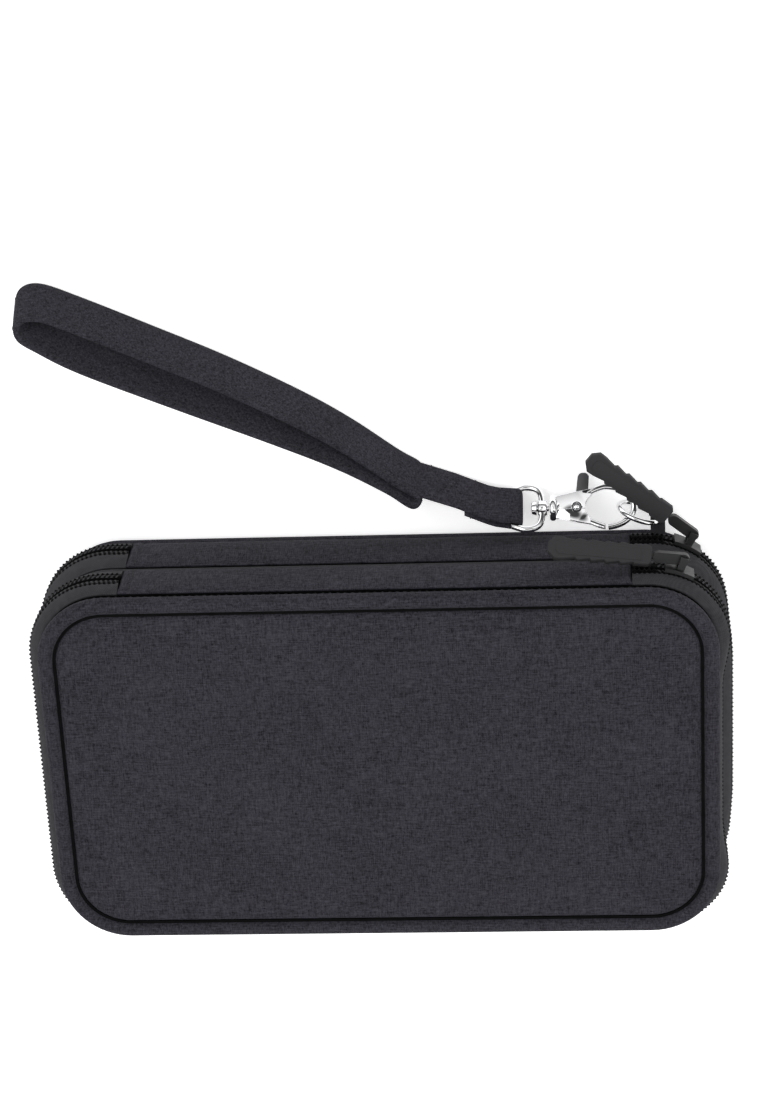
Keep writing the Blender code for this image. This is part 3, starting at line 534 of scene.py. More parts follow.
@dataclass(frozen=True)
class Outline:
    """The pouch's rounded rectangle in plan, and the way that its zips bulge out from it."""

    half_length: float
    half_width: float
    radius: float = 21.0
    side_bulge: float = 3.5
    spine_bulge: float = 1.5
    spine_growth: float = 2.0
    spine_half: float = 76.0
    swell_x: Plan = (70.0, 98.0)  # where a zip's own swell sets in along X, and up from the foot
    swell_y: Plan = (-48.0, -22.0)
    below_sliders: Plan = (-40.0, -22.0)  # the same down from the sliders' way
    corner_steps: int = 16
    long_steps: int = 56
    short_steps: int = 26

    def corner(self, index: int, bulge: float, inset: float) -> list[Plan]:
        """Points of one corner, clockwise from above; corners 0 and 1 stand beside the spine, right then left."""
        at_spine = index < 2
        rise = (self.spine_bulge if at_spine else self.side_bulge) * bulge
        radius = self.radius + (self.spine_growth if at_spine else self.side_bulge) * bulge
        x = (self.half_length + self.side_bulge * bulge - radius) * (1 if index in (0, 3) else -1)
        y = (self.half_width + rise - radius) * (1 if at_spine else -1)
        start = {0: 90.0, 3: 0.0, 2: -90.0, 1: 180.0}[index]
        made = []
        for step in range(self.corner_steps + 1):
            angle = math.radians(start - 90 * step / self.corner_steps)
            made.append((x + (radius - inset) * math.cos(angle), y + (radius - inset) * math.sin(angle)))
        return made

    def straight(self, start: Plan, end: Plan, steps: int) -> list[Plan]:
        """The points between two places, without them."""
        return [tuple(Vector(start).lerp(Vector(end), step / steps)) for step in range(1, steps)]

    def loop(self, bulge: float = 0.0, inset: float = 0.0) -> list[Plan]:
        """The whole outline, clockwise from above, from the spine's right corner on."""
        corners = [self.corner(index, bulge, inset) for index in (0, 3, 2, 1)]
        steps = (self.short_steps, self.long_steps, self.short_steps, self.long_steps)
        made = []
        for i, corner in enumerate(corners):
            made += corner + self.straight(corner[-1], corners[(i + 1) % 4][0], steps[i])
        return made

    def zip_run(self, bulge: float, inset: float, swell: float = 1.0) -> list[Plan]:
        """The zip's way, clockwise from the spine strip's right end to its left end.

        Args:
            bulge: how far out of the flat wall, from 0 to 1.
            inset: distance in from there.
            swell: how many times as far it bulges along the right-hand side.

        Returns:
            The points of the way.
        """
        top = self.half_width + self.spine_bulge * bulge - inset
        flat = self.loop(0.0, inset)[: -(self.long_steps - 1)]
        full = self.loop(1.0, inset)[: -(self.long_steps - 1)]
        run = []
        for here, there in zip(flat, full):
            aside = smooth_step(here[0], *self.swell_x) * smooth_step(here[1], *self.swell_y)
            aside *= smooth_step(-here[1], *self.below_sliders)
            run.append(tuple(Vector(here).lerp(Vector(there), bulge * (1.0 + (swell - 1.0) * aside))))
        start, end = (self.spine_half + 0.2, top), (-self.spine_half - 0.2, top)
        return [start] + self.straight(start, run[0], 4) + run + self.straight(run[-1], end, 4) + [end]


def swept(outline: Outline, section: Sequence[Plan]) -> Form:
    """Sweeps an (inset, z) section round the whole outline."""
    lines = [(outline.loop(0.0, inset), z) for inset, z in section]
    form = Form()
    form.loft([[(*line[i], z) for line, z in lines] for i in range(len(lines[0][0]))], closed=True)
    return form


# ---------------------------------------------------------------------------------------------------- soft pieces


@dataclass
class PaddedPanel:
    """One face of the pouch: woven cloth over foam, drawn down into the seam beside its welt."""

    outline: Outline
    name: str
    body: str
    nodes: tuple[str, ...]
    seam_z: float
    face_z: float
    floor_z: float
    fill: float = 0.35
    seam_inset: float = 5.15
    seam_drop: float = 1.5
    rings: int = 26
    swell_cap: float = 0.9
    rests: bool = False

    def level(self, inset: float) -> float:
        """Height of the cloth at a distance in from the seam, before it swells."""
        roll = 1.0 - math.exp(-((inset / 0.75) ** 1.1))
        return self.seam_z + (self.face_z - self.seam_z) * roll

    def surface(self) -> tuple[list[list[Point]], int]:
        """Rings of points from the seam to the middle, and how many of them lie beside the seam."""
        close = (0.0, 0.35, 0.7, 1.1, 1.6, 2.3, 3.2, 4.4, 6.0, 8.0)
        rings = []
        for depth in close:
            rings.append([(x, y, self.level(depth)) for x, y in self.outline.loop(0.0, self.seam_inset + depth)])
        edge = self.outline.loop(0.0, self.seam_inset + close[-1])
        for step in range(1, self.rings):
            share = 1.0 - step / self.rings
            rings.append([(x * share, y * share, self.face_z) for x, y in edge])
        return rings, len(close)

    def swell(self, made: bpy.types.Object, held: int) -> None:
        """Lets the cloth swell over its foam by simulation, and caps how far it rises.

        Args:
            made: the cloth, still a single open skin.
            held: how many of its points, counted from the first, are sewn down.
        """
        rest = [vert.co.copy() for vert in made.data.vertices]
        pins = made.vertex_groups.new(name="seam")
        pins.add(list(range(held)), 1.0, "REPLACE")
        cloth = made.modifiers.new("cloth", "CLOTH")
        cloth.settings.quality = 5
        cloth.settings.mass = 0.2
        cloth.settings.tension_stiffness = 12
        cloth.settings.compression_stiffness = 12
        cloth.settings.bending_stiffness = 4
        cloth.settings.vertex_group_mass = "seam"
        cloth.settings.use_pressure = True
        cloth.settings.uniform_pressure_force = 2.0
        cloth.settings.effector_weights.gravity = 0.0
        scene = bpy.context.scene
        for frame in range(1, 15):
            scene.frame_set(frame)
        graph = bpy.context.evaluated_depsgraph_get()
        swollen = [vert.co.copy() for vert in made.evaluated_get(graph).data.vertices]
        made.modifiers.remove(cloth)
        made.vertex_groups.remove(pins)
        way = 1.0 if self.face_z > self.seam_z else -1.0
        highest = max((now.z - then.z) * way for now, then in zip(swollen, rest))
        for vert, now, then in zip(made.data.vertices, swollen, rest):
            share = max((now.z - then.z) * way, 0.0) / max(highest, 1e-6)
            vert.co = then + Vector((0, 0, way * self.swell_cap * MM * share))
        scene.frame_set(1)

    def build(self) -> bpy.types.Object:
        """Makes the cloth, swells it and closes it underneath."""
        rings, beside = self.surface()
        size = len(rings[0])
        form = Form()
        faces = []
        for i in range(len(rings) - 1):
            for j in range(size):
                k = (j + 1) % size
                faces.append((i * size + j, i * size + k, (i + 1) * size + k, (i + 1) * size + j))
        faces.append(tuple((len(rings) - 1) * size + j for j in range(size)))
        form.add([point for ring in rings for point in ring], faces)
        made = form.make(self.name, Finish.HEATHER, self.body, 60.0)
        if (made.data.polygons[0].normal.z > 0) != (self.face_z > self.seam_z):
            made.data.flip_normals()
        if self.rests:
            LOG.info("%s lies flat on the table", self.name)
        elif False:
            self.crown(made)
        else:
            self.swell(made, beside * size)
        self.pucker(made)
        self.close(made, size)
        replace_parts(made, *self.nodes)
        self.paint_seam_shadow()
        return made

    def paint_seam_shadow(self) -> None:
        """Lays a near-black strip in the groove between the cloth and its welt, as painted shadow at the bottom of
        the seam.
        """
        way = 1.0 if self.face_z > self.seam_z else -1.0
        section = ((-1.3, -1.6), (-1.3, self.seam_drop - 0.1), (0.45, self.seam_drop - 0.05), (0.8, -1.6))
        placed = [(self.seam_inset + inset, self.seam_z + way * z) for inset, z in section]
        # Painted shadow: the strip's near-black coil finish darkens the bottom of the seam groove.
        swept(self.outline, placed).make(self.name + "_seam", Finish.COIL_AND_SEAM_SHADOW, self.body)

    def crown(self, made: bpy.types.Object) -> None:
        """Stands in for the simulation while the other pieces are worked on."""
        for vert in made.data.vertices:
            x, y = vert.co.x / MM / self.outline.half_length, vert.co.y / MM / self.outline.half_width
            vert.co.z += self.swell_cap * MM * max(1 - x**4, 0.0) * max(1 - y**4, 0.0)

    def pucker(self, made: bpy.types.Object) -> None:
        """Adds the slight unevenness of cloth drawn over foam."""
        reach = Vector((self.outline.half_length, self.outline.half_width))
        for vert in made.data.vertices:
            x, y = vert.co.x / MM, vert.co.y / MM
            inside = min(reach.x - abs(x), reach.y - abs(y)) - self.seam_inset
            weight = min(max(inside / 6.0, 0.0), 1.0) * (0.25 if self.rests else 1.0)
            wave = ripple((x, y, 0.0), 34.0, 0.22) + ripple((x, y, 9.0), 11.0, 0.06)
            vert.co.z += MM * weight * wave

    def close(self, made: bpy.types.Object, size: int) -> None:
        """Closes the cloth with a flat underside against the foam."""
        work = bmesh.new()
        work.from_mesh(made.data)
        work.verts.ensure_lookup_table()
        rim = [work.verts[j] for j in range(size)]
        low = [work.verts.new((vert.co.x, vert.co.y, self.floor_z * MM)) for vert in rim]
        for j in range(size):
            k = (j + 1) % size
            work.faces.new((rim[j], rim[k], low[k], low[j]))
        work.faces.new(low)
        bmesh.ops.recalc_face_normals(work, faces=work.faces)
        work.to_mesh(made.data)
        work.free()


@dataclass
class Welt:
    """The round piping sewn round a panel, with its join and its row of stitches."""

    outline: Outline
    name: str
    body: str
    node: str
    z: float
    radius: float = 2.5
    join_x: float = 3.0
    stitch: Point = (1.35, 0.34, 0.16)
    stitch_pitch: float = 2.2
    stitch_side: float = 1.0
    sides: int = 20

    def section(self, i: int, rings: list[list[Plan]]) -> list[Point]:
        """One section of the welt, a little uneven, and thicker at the join."""
        made = []
        for step, ring in enumerate(rings):
            x, y = ring[i]
            turn = math.tau * step / self.sides
            lump = ripple((x, y, self.z), 7.0, 0.10)
            if y > 0 and abs(x - self.join_x) < 1.1 and abs(y) > self.outline.half_width - 8:
                lump += 0.22
            made.append((x, y, self.z + (self.radius + lump) * math.sin(turn)))
        return made

    def build(self) -> None:
        """Makes the welt and the stitches beside it."""
        insets = [self.radius * (1 - math.cos(math.tau * step / self.sides)) for step in range(self.sides)]
        rings = [self.outline.loop(0.0, inset) for inset in insets]
        form = Form()
        form.loft([self.section(i, rings) for i in range(len(rings[0]))], closed=True)
        made = form.make(self.name, Finish.HEATHER, self.body, 60.0)
        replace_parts(made, self.node)
        stitches = Form()
        path = self.outline.loop(0.0, 0.62)
        level = self.z + self.stitch_side * self.radius * 0.82
        for place, along in spaced(path, self.stitch_pitch, closed=True):
            out = Vector((-along.y, along.x, 0)) + Vector((0, 0, self.stitch_side * 1.2))
            out.normalize()
            direction = Vector((*along, 0))
            stitches.bump(Vector((*place, level)), direction, out.cross(direction), self.stitch)
        stitches.make(self.name + "_stitches", Finish.TAPE, self.body)


@dataclass
class ZipSide:
    """One half of a zip: its tape, the rolled edge over its coil, the coil's turns and its row of stitches."""

    outline: Outline
    name: str
    lower_body: str
    upper_body: str
    nodes: tuple[str, ...]
    end_z: float
    coil_z: float
    way: float
    hinge_y: float
    flex_y: float = 34.0
    split: float = 1.2
    roll: float = 2.6
    tape: float = 1.1
    pitch: float = 1.45
    swell: float = 1.0
    parted: float = 9.0  # length beside the slider where the coil is bare
    tooth: Point = (1.0, 1.5, 0.4)
    bare_turn: Point = (1.05, 2.4, 0.75)
    covered_turn: Point = (1.12, 2.25, 0.3)
    stitch: Point = (1.0, 0.9, 0.5)

    @property
    def edge_z(self) -> float:
        """Where the tape meets the rolled edge."""
        return self.coil_z + self.way * (self.split / 2 + self.roll)

    def tape_section(self) -> list[tuple[float, float, float]]:
        """The tape's section as (bulge, inset, z), outer face first."""
        outer, inner = [], []
        for step in range(8):
            t = step / 7
            bulge = 0.6 * t + 0.4 * math.sin(t * math.pi / 2)
            z = self.end_z + (self.edge_z - self.end_z) * t
            outer.append((bulge, -0.25 * math.sin(math.pi * t), z))
            inner.append((bulge, self.tape, z))
        return outer + inner[::-1]

    def bead_section(self) -> list[tuple[float, float, float]]:
        """The section of the edge that is rolled over the coil."""
        lip = [(-0.15, 0.9), (0.15, 0.3), (0.6, 0.0), (1.3, -0.1), (1.9, 0.0), (2.35, 0.35), (2.6, 0.9), (2.6, 2.0)]
        return [(1.0, inset, self.edge_z - self.way * rise) for rise, inset in lip] + [(1.0, 2.0, self.edge_z)]

    def band(self, section: list[tuple[float, float, float]]) -> Form:
        """Sweeps a section along the zip's way, a little uneven as sewn tape is."""
        lines = [(self.outline.zip_run(bulge, inset, self.swell), z) for bulge, inset, z in section]
        rings = []
        for i in range(len(lines[0][0])):
            ring = []
            for line, z in lines:
                x, y = line[i]
                out = Vector((x, y)).normalized() * ripple((x, y, z), 9.0, 0.12)
                ring.append((x + out.x, y + out.y, z))
            rings.append(ring)
        form = Form()
        form.loft(rings)
        return form

    def build(self) -> None:
        """Makes the tape, the rolled edge with the coil's turns under it, the teeth and the stitches."""
        tape = self.band(self.tape_section()).make(self.name + "_tape", Finish.TAPE, "", 50.0)
        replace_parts(tape, *self.nodes)
        coil, wraps = self.band(self.bead_section()), Form()
        up = Vector((0, 0, 1))
        walked = 0.0
        for place, along in spaced(self.outline.zip_run(1.0, 0.05, self.swell), self.pitch):
            walked += self.pitch
            flat = Vector((*along, 0))
            inward = Vector((along.y, -along.x, 0))
            parted = walked < self.parted
            centre = Vector((*place, self.edge_z - self.way * 1.35))
            slant = (up + flat * 0.45 * self.way).normalized()
            level = (flat - slant * flat.dot(slant)).normalized()
            if parted:
                coil.bump(centre + up * self.way * -0.5, flat, up, self.bare_turn)
            else:
                wraps.bump(centre, level, slant, self.covered_turn)
            tooth = Vector((*place, self.coil_z + self.way * 0.3)) + flat * self.pitch / 4 * self.way
            coil.bump(tooth + inward * 0.7, flat, up, self.tooth)
        stitches = Form()
        for place, along in spaced(self.outline.zip_run(1.0, 0.0, self.swell), self.pitch):
            flat = Vector((*along, 0))
            stitches.bump(Vector((*place, self.edge_z + self.way * 0.1)), flat, up, self.stitch)
        self.attach(tape)
        self.attach(coil.make(self.name + "_coil", Finish.COIL_AND_SEAM_SHADOW, ""))
        self.attach(wraps.make(self.name + "_rolled_edge", Finish.TAPE, ""))
        self.attach(stitches.make(self.name + "_stitches", Finish.COIL_AND_SEAM_SHADOW, ""))

    def attach(self, piece: bpy.types.Object) -> None:
        """Rides on the lower body; an upper side only has its transform baked and rides on no body."""
        if self.way < 0:
            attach(piece, self.lower_body)
            return
        level = self.edge_z * MM
        start, end = (0, self.hinge_y * MM, level), (0, self.flex_y * MM, level)
        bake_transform(piece)
        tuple(start)
        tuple(end)


@dataclass
class SpineStrip:
    """The cloth strip along the spine, which takes the zip's place there and is sewn down at both ends."""

    outline: Outline
    name: str
    body: str
    node: str
    low: float
    high: float
    bulge: float = 1.1
    thickness: float = 1.2
    stitch_inset: float = 3.1

    def section(self, x: float) -> list[Point]:
        """The strip's section at one place: a slightly bellied outer face and a flat back."""
        y = self.outline.half_width
        half = self.outline.spine_half
        end = max(0.0, 1.0 - (half - abs(x)) / 1.2)
        fold = 0.25 * math.exp(-(((half - abs(x)) - 1.6) / 1.0) ** 2)
        dip = 0.18 * math.exp(-(((half - abs(x)) - self.stitch_inset) / 0.35) ** 2)
        made = []
        for step in range(13):
            t = step / 12
            z = self.low + (self.high - self.low) * t
            belly = math.sin(math.pi * t) ** 0.55 * self.bulge
            uneven = ripple((x, 0.0, z), 12.0, 0.16)
            made.append((x, y + 0.25 + (belly + uneven + fold - dip) * (1 - 0.6 * end * end), z))
        made += [(x, y - 0.1, self.high), (x, y - 0.1, self.low)]
        return made

    def build(self) -> None:
        """Makes the strip and its two end rows of stitches."""
        half = self.outline.spine_half
        close = [half - gap for gap in (0.0, 0.4, 0.9, 1.4, 2.0, 2.6, 2.9, 3.1, 3.3, 3.7, 4.6)]
        middle = [half - 4.6 - step * (2 * half - 9.2) / 50 for step in range(1, 50)]
        form = Form()
        form.loft([self.section(x) for x in close + middle + [-x for x in reversed(close)]])
        made = form.make(self.name, Finish.HEATHER, self.body, 60.0)
        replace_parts(made, self.node)
        stitches = Form()
        for side in (1, -1):
            x = side * (half - self.stitch_inset)
            count = int((self.high - self.low - 1.5) / 2.0)
            for k in range(count):
                z = self.low + 1.6 + 2.0 * k
                t = (z - self.low) / (self.high - self.low)
                y = self.outline.half_width + 0.2 + math.sin(math.pi * t) ** 0.55 * self.bulge
                stitches.bump(Vector((x, y, z)), Vector((0, 0, 1)), Vector((1, 0, 0)), (1.4, 0.36, 0.18))
        stitches.make(self.name + "_stitches", Finish.TAPE, self.body)


@dataclass
class Binding:
    """The rounded tape that binds the divider's edge, sunk between the two zips."""

    outline: Outline
    low: float
    high: float
    depth: float = 1.1

    def build(self) -> None:
        """Makes the binding as one closed band."""
        middle, half = (self.low + self.high) / 2, (self.high - self.low) / 2
        section = [(self.depth, self.low)]
        for step in range(9):
            turn = math.pi * (step / 8 - 0.5)
            section.append((0.7 - 0.6 * math.cos(turn), middle + half * math.sin(turn)))
        section.append((self.depth, self.high))
        made = swept(self.outline, section).make("divider_edge_binding", Finish.TAPE, "divider", 60.0)
        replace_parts(made, "divider_binding")


@dataclass
class WristStrap:
    """The wrist strap: two layers of cloth, edge-stitched, doubled round the D-ring's bar and sewn down."""

    bar: Vector
    lean_degrees: float = 36.0
    width: float = 13.4
    thickness: float = 2.4
    layer: float = 1.25
    tuck: float = 0.6
    eye: float = 2.35
    under_length: float = 15.0
    over_length: float = 31.0
    rest_height: float = 0.25
    stitch_pitch: float = 2.3
    edge_stitch: Point = (1.6, 0.4, 0.17)
    cross_stitch: Point = (1.25, 0.42, 0.24)
    end: Plan = (-29.0, 7.9)
    route: tuple[Plan, ...] = (
        (-28.5, 9.1), (-35.0, 13.6), (-49.0, 24.2), (-63.5, 33.4), (-85.0, 45.0), (-107.0, 55.4), (-127.0, 64.6),
        (-138.6, 69.2), (-144.4, 68.0), (-145.0, 63.4), (-139.4, 59.2), (-127.0, 52.2), (-99.0, 40.0),
        (-71.5, 28.4), (-52.5, 19.8), (-38.0, 11.6), (-30.4, 6.3),
    )

    @property
    def lean(self) -> Vector:
        """Direction of the strap's width: up, and leaning towards the pouch."""
        angle = math.radians(self.lean_degrees)
        return Vector((0, -math.sin(angle), math.cos(angle)))

    def band(self, form: Form, path: list[Vector], half: float, thickness: float, closed: bool) -> None:
        """Sweeps the strap's rounded section along a path of middle points.

        Args:
            form: the form to add to.
            path: middle points of the strap.
            half: half of its width.
            thickness: its thickness.
            closed: whether the path is a loop.
        """
        rings = []
        for point, along in tangents(path, closed):
            face = along.cross(self.lean).normalized()
            oblong = squarish(28, thickness / 2, 0.7, half, 0.35)
            rings.append([point + self.lean * rise + face * out for out, rise in oblong])
        form.loft(rings, closed)

    def edge_stitches(self, stitches: Form, path: list[Vector], half: float, closed: bool) -> None:
        """Adds the rows of stitches along both edges of both faces."""
        for place, along in spaced(path, self.stitch_pitch, closed):
            face = along.cross(self.lean).normalized()
            for side in (1, -1):
                for rise in (1, -1):
                    centre = place + self.lean * rise * (half - 1.5) + face * side * (self.thickness / 2 - 0.06)
                    stitches.bump(centre, along, self.lean, self.edge_stitch)

    def sewn_place(self, x: float, y: float) -> Vector:
        """A place on the sewn end, x along it from the bar and y out of its face towards the pouch."""
        turn = Matrix.Rotation(math.atan2(self.end[1], self.end[0]), 3, "Z")
        point = self.bar + turn @ Vector((x, y, 0))
        level = min(max((14.0 - x) / 9.0, 0.0), 1.0)
        point -= self.lean * (point - self.bar).dot(self.lean) * level
        settle = min(max((x - 4.0) / 16.0, 0.0), 1.0)
        point.z += (self.width / 2 * self.lean.z + self.rest_height - self.bar.z) * settle
        return point

    def cross_stitches(self, stitches: Form, x: float, sides: Sequence[float], slope: float) -> None:
        """Adds a row of stitches across the sewn end.

        Args:
            stitches: the form to add to.
            x: distance of the row's middle from the bar.
            sides: how far its rows stand out of the middle, towards the pouch if positive.
            slope: how far the row runs along the strap for each millimetre across it.
        """
        along = (self.sewn_place(x + 1, 0) - self.sewn_place(x - 1, 0)).normalized()
        for y in sides:
            for k in range(-3, 4):
                centre = self.sewn_place(x + slope * k * 1.75, y) + self.lean * k * 1.75
                stitches.bump(centre, self.lean, along, self.cross_stitch)

    def fold_path(self) -> list[Vector]:
        """Middle line of the layer that runs in, round the bar and back under itself."""
        run = [(self.over_length, -1.9), (24.0, -1.35), (18.0, -0.95), (12.0, -0.75), (8.0, -1.0), (5.0, -1.65)]
        for step in range(13):
            around = math.radians(-110 - 140 * step / 12)
            run.append((self.eye * math.cos(around), self.eye * math.sin(around)))
        run += [(5.0, 1.65), (8.0, 1.0), (11.0, 0.72), (self.under_length, 0.68)]
        return [self.sewn_place(x, y) for x, y in run]

    def build(self) -> None:
        """Makes the loop, the sewn end and all their stitches."""
        half = self.width / 2
        height = half * self.lean.z + self.rest_height
        loop = [Vector((x + self.bar.x, y + self.bar.y, height)) for x, y in smooth_loop(self.route, 7)]
        form, stitches = Form(), Form()
        self.band(form, loop, half, self.thickness, True)
        made = form.make("wrist_strap_band", Finish.HEATHER, "wrist_strap", 60.0)
        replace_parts(made, "wrist_strap_loop")
        self.edge_stitches(stitches, loop, half, True)
        fold = Form()
        path = self.fold_path()
        self.band(fold, path, half - self.tuck, self.layer, False)
        sewn = fold.make("wrist_strap_sewn_end", Finish.HEATHER, "wrist_strap", 60.0)
        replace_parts(sewn, "strap_end_fold")
        self.cross_stitches(stitches, 12.5, (-1.42, 1.36), 0.1)
        self.cross_stitches(stitches, 26.5, (-2.15,), 0.1)
        stitches.make("wrist_strap_stitches", Finish.TAPE, "wrist_strap")


# -------------------------------------------------------------------------------------------------------- hardware


@dataclass
class SnapHook:
    """The swivel snap hook: an open bow, a flat riveted shank with a collar, and a sprung gate with a thumb post."""

    axis_y: float
    axis_z: float
    collar_u: float
    rivet_u: float
    tilt_degrees: float = 30.0
    eye_offset: float = 8.4
    eye_length: float = 15.0
    eye_width: float = 9.6
    wall: float = 2.3
    thickness: float = 3.0
    cheek: float = 1.95
    slot: float = 1.2
    facet_fall: float = 0.1

    @property
    def place(self) -> Matrix:
        """From the hook's plane, with u along X and v towards the pouch, to the pouch."""
        tilt = math.radians(self.tilt_degrees)
        v = Vector((0, -math.cos(tilt), math.sin(tilt)))
        n = Vector((0, math.sin(tilt), math.cos(tilt)))
        turn = Matrix((Vector((1, 0, 0)), v, n)).transposed().to_4x4()
        return Matrix.Translation((0, self.axis_y, self.axis_z)) @ turn

    def rim(self, degrees: float, grow: float) -> Plan:
        """A point on the eye's outline, grown by part of its wall; the eye tapers towards the rivet."""
        angle = math.radians(degrees)
        x = math.cos(angle)
        taper = 1.0 if x > 0 else 1.0 - 0.3 * abs(x)
        length, width = self.eye_length / 2 + grow, self.eye_width / 2 + grow
        return self.rivet_u + self.eye_offset + length * x, width * math.sin(angle) * taper

    def bow(self, form: Form, first: float, last: float, half: float, steps: int) -> None:
        """Sweeps a softened oblong section round the eye, from a first to a last angle."""
        rings = []
        for step in range(steps + 1):
            angle = first + (last - first) * step / steps
            inner, outer = Vector(self.rim(angle, 0.35)), Vector(self.rim(angle, self.wall))
            middle, reach = (inner + outer) / 2, (outer - inner) / 2
            oblong = squarish(20, 1.0, 0.75, half, 0.6)
            rings.append([self.place @ Vector((*(middle + reach * across), rise)) for across, rise in oblong])
        form.loft(rings)

    def cheek_outline(self) -> list[Plan]:
        """Outline of each flat of the shank, hollowed where it meets the eye."""
        u, eye = self.collar_u + 0.5, self.rivet_u + 2.6
        lower = [(u, -3.2), (self.rivet_u, -4.7), (eye + 1.7, -5.5), (eye + 1.9, -3.5), (eye + 0.7, -2.5)]
        hollow = [(eye + 0.1, -1.2), (eye, 0.0), (eye + 0.1, 1.2), (eye + 0.7, 2.4)]
        return lower + hollow + [(eye + 1.4, 3.0), (eye + 1.5, 5.3), (self.rivet_u, 4.5), (u, 3.2)]

    def cheek_plates(self, body: Form, way: int) -> None:
        """Adds the upper (1) or lower (-1) flat of the shank, as two facets that fall from its middle."""
        outline = self.cheek_outline()
        ridge = 0.5
        middle = [(outline[6][0], ridge), (outline[0][0], ridge)]
        halves = (outline[:6] + [middle[0], middle[1]], [middle[1], middle[0]] + outline[7:])
        for facet in halves:
            plate = Form()
            low, high = sorted((way * self.slot, way * self.cheek))
            rounded_prism(plate, facet, low, high, 0.16, Matrix())
            shaped = []
            for u, v, n in plate.points:
                fall = self.facet_fall * abs(v - ridge) if abs(n) > self.slot + 0.1 else 0.0
                shaped.append(self.place @ Vector((u, v, n - way * fall)))
            body.add(shaped, plate.faces)

    def build(self) -> None:
        """Makes the hook's pieces and their rivet, spring and swivel pin."""
        body, place = Form(), self.place
        self.bow(body, 84.0, -158.0, self.thickness / 2, 72)
        for way in (1, -1):
            self.cheek_plates(body, way)
        root = self.collar_u + 0.5
        core = [(root, -3.0), (root + 3.6, -3.7), (root + 3.6, 3.7), (root, 3.0)]
        rounded_prism(body, core, -self.slot - 0.1, self.slot + 0.1, 0.1, place)
        spine = [(root + 3.0, -3.6), (self.rivet_u + 0.1, -4.6), (self.rivet_u + 0.1, -3.3), (root + 3.0, -2.6)]
        rounded_prism(body, spine, -self.slot - 0.1, self.slot + 0.1, 0.1, place)
        along = place @ Matrix.Translation((self.collar_u, 0, 0)) @ Matrix.Rotation(math.pi / 2, 4, "Y")
        rim = [(2.9, -0.95), (3.6, -0.9), (3.95, -0.5), (4.0, 0.0), (3.95, 0.5), (3.6, 0.9), (2.9, 0.95), (2.5, 1.2)]
        turned(body, [(1.3, -1.0)] + rim + [(2.2, 1.9)], along)
        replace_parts(body.make("snap_hook_body", Finish.CHROME, "snap_hook", 38.0), "hook_body")
        self.build_gate()
        rivet = Form()
        top = self.cheek
        head = [(1.7, top + 0.02), (1.72, top + 0.3), (1.5, top + 0.5), (1.15, top + 0.5), (1.0, top + 0.28),
                (0.78, top + 0.28), (0.7, top + 0.48), (0.4, top + 0.62), (0.05, top + 0.66)]
        mirrored = [(radius, -z) for radius, z in reversed(head)]
        centre = place @ Matrix.Translation((self.rivet_u, 0, 0))
        turned(rivet, mirrored + [(0.95, -top), (0.95, top)] + head, centre, 24)
        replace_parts(rivet.make("snap_hook_rivet", Finish.CHROME, "snap_hook", 30.0), "gate_rivet")
        refined("gate_spring", "snap_hook_spring", Finish.DARK_METAL, "snap_hook", 0.1)
        refined("swivel_pin", "snap_hook_swivel_pin", Finish.CHROME, "snap_hook", 0.25)

    def build_gate(self) -> None:
        """Makes the gate's bar, which closes the eye, and its thumb post."""
        half = 0.85
        bar, post = Form(), Form()
        steps = 9
        outer = [self.rim(128.0 - 39.0 * k / steps, self.wall - 0.25) for k in range(steps + 1)]
        inner = [self.rim(89.0 + 39.0 * k / steps, 0.15) for k in range(steps + 1)]
        root = [(self.rivet_u - 1.4, 2.2), (self.rivet_u + 1.2, 4.0)]
        shape = root + outer + inner + [(self.rivet_u + 1.4, 0.8)]
        rounded_prism(bar, shape, -half, half, 0.3, self.place)
        hub = self.place @ Matrix.Translation((self.rivet_u, 0, 0))
        turned(bar, [(2.3, -half), (2.5, -half + 0.2), (2.5, half - 0.2), (2.3, half)], hub)
        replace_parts(bar.make("snap_hook_gate", Finish.CHROME, "hook_gate", 38.0), "hook_gate")
        u = self.rivet_u
        stem = [(u + 0.4, -9.4), (u + 0.9, -10.1), (u + 1.5, -10.4), (u + 2.7, -10.4), (u + 3.3, -10.1),
                (u + 3.8, -9.4), (u + 3.5, -4.4), (u + 1.7, 0.0), (u - 1.4, 0.4), (u - 0.2, -4.4)]
        rounded_prism(post, stem, -half - 0.05, half + 0.05, 0.35, self.place)
        post.make("snap_hook_thumb_post", Finish.DARK_METAL, "hook_gate", 38.0)


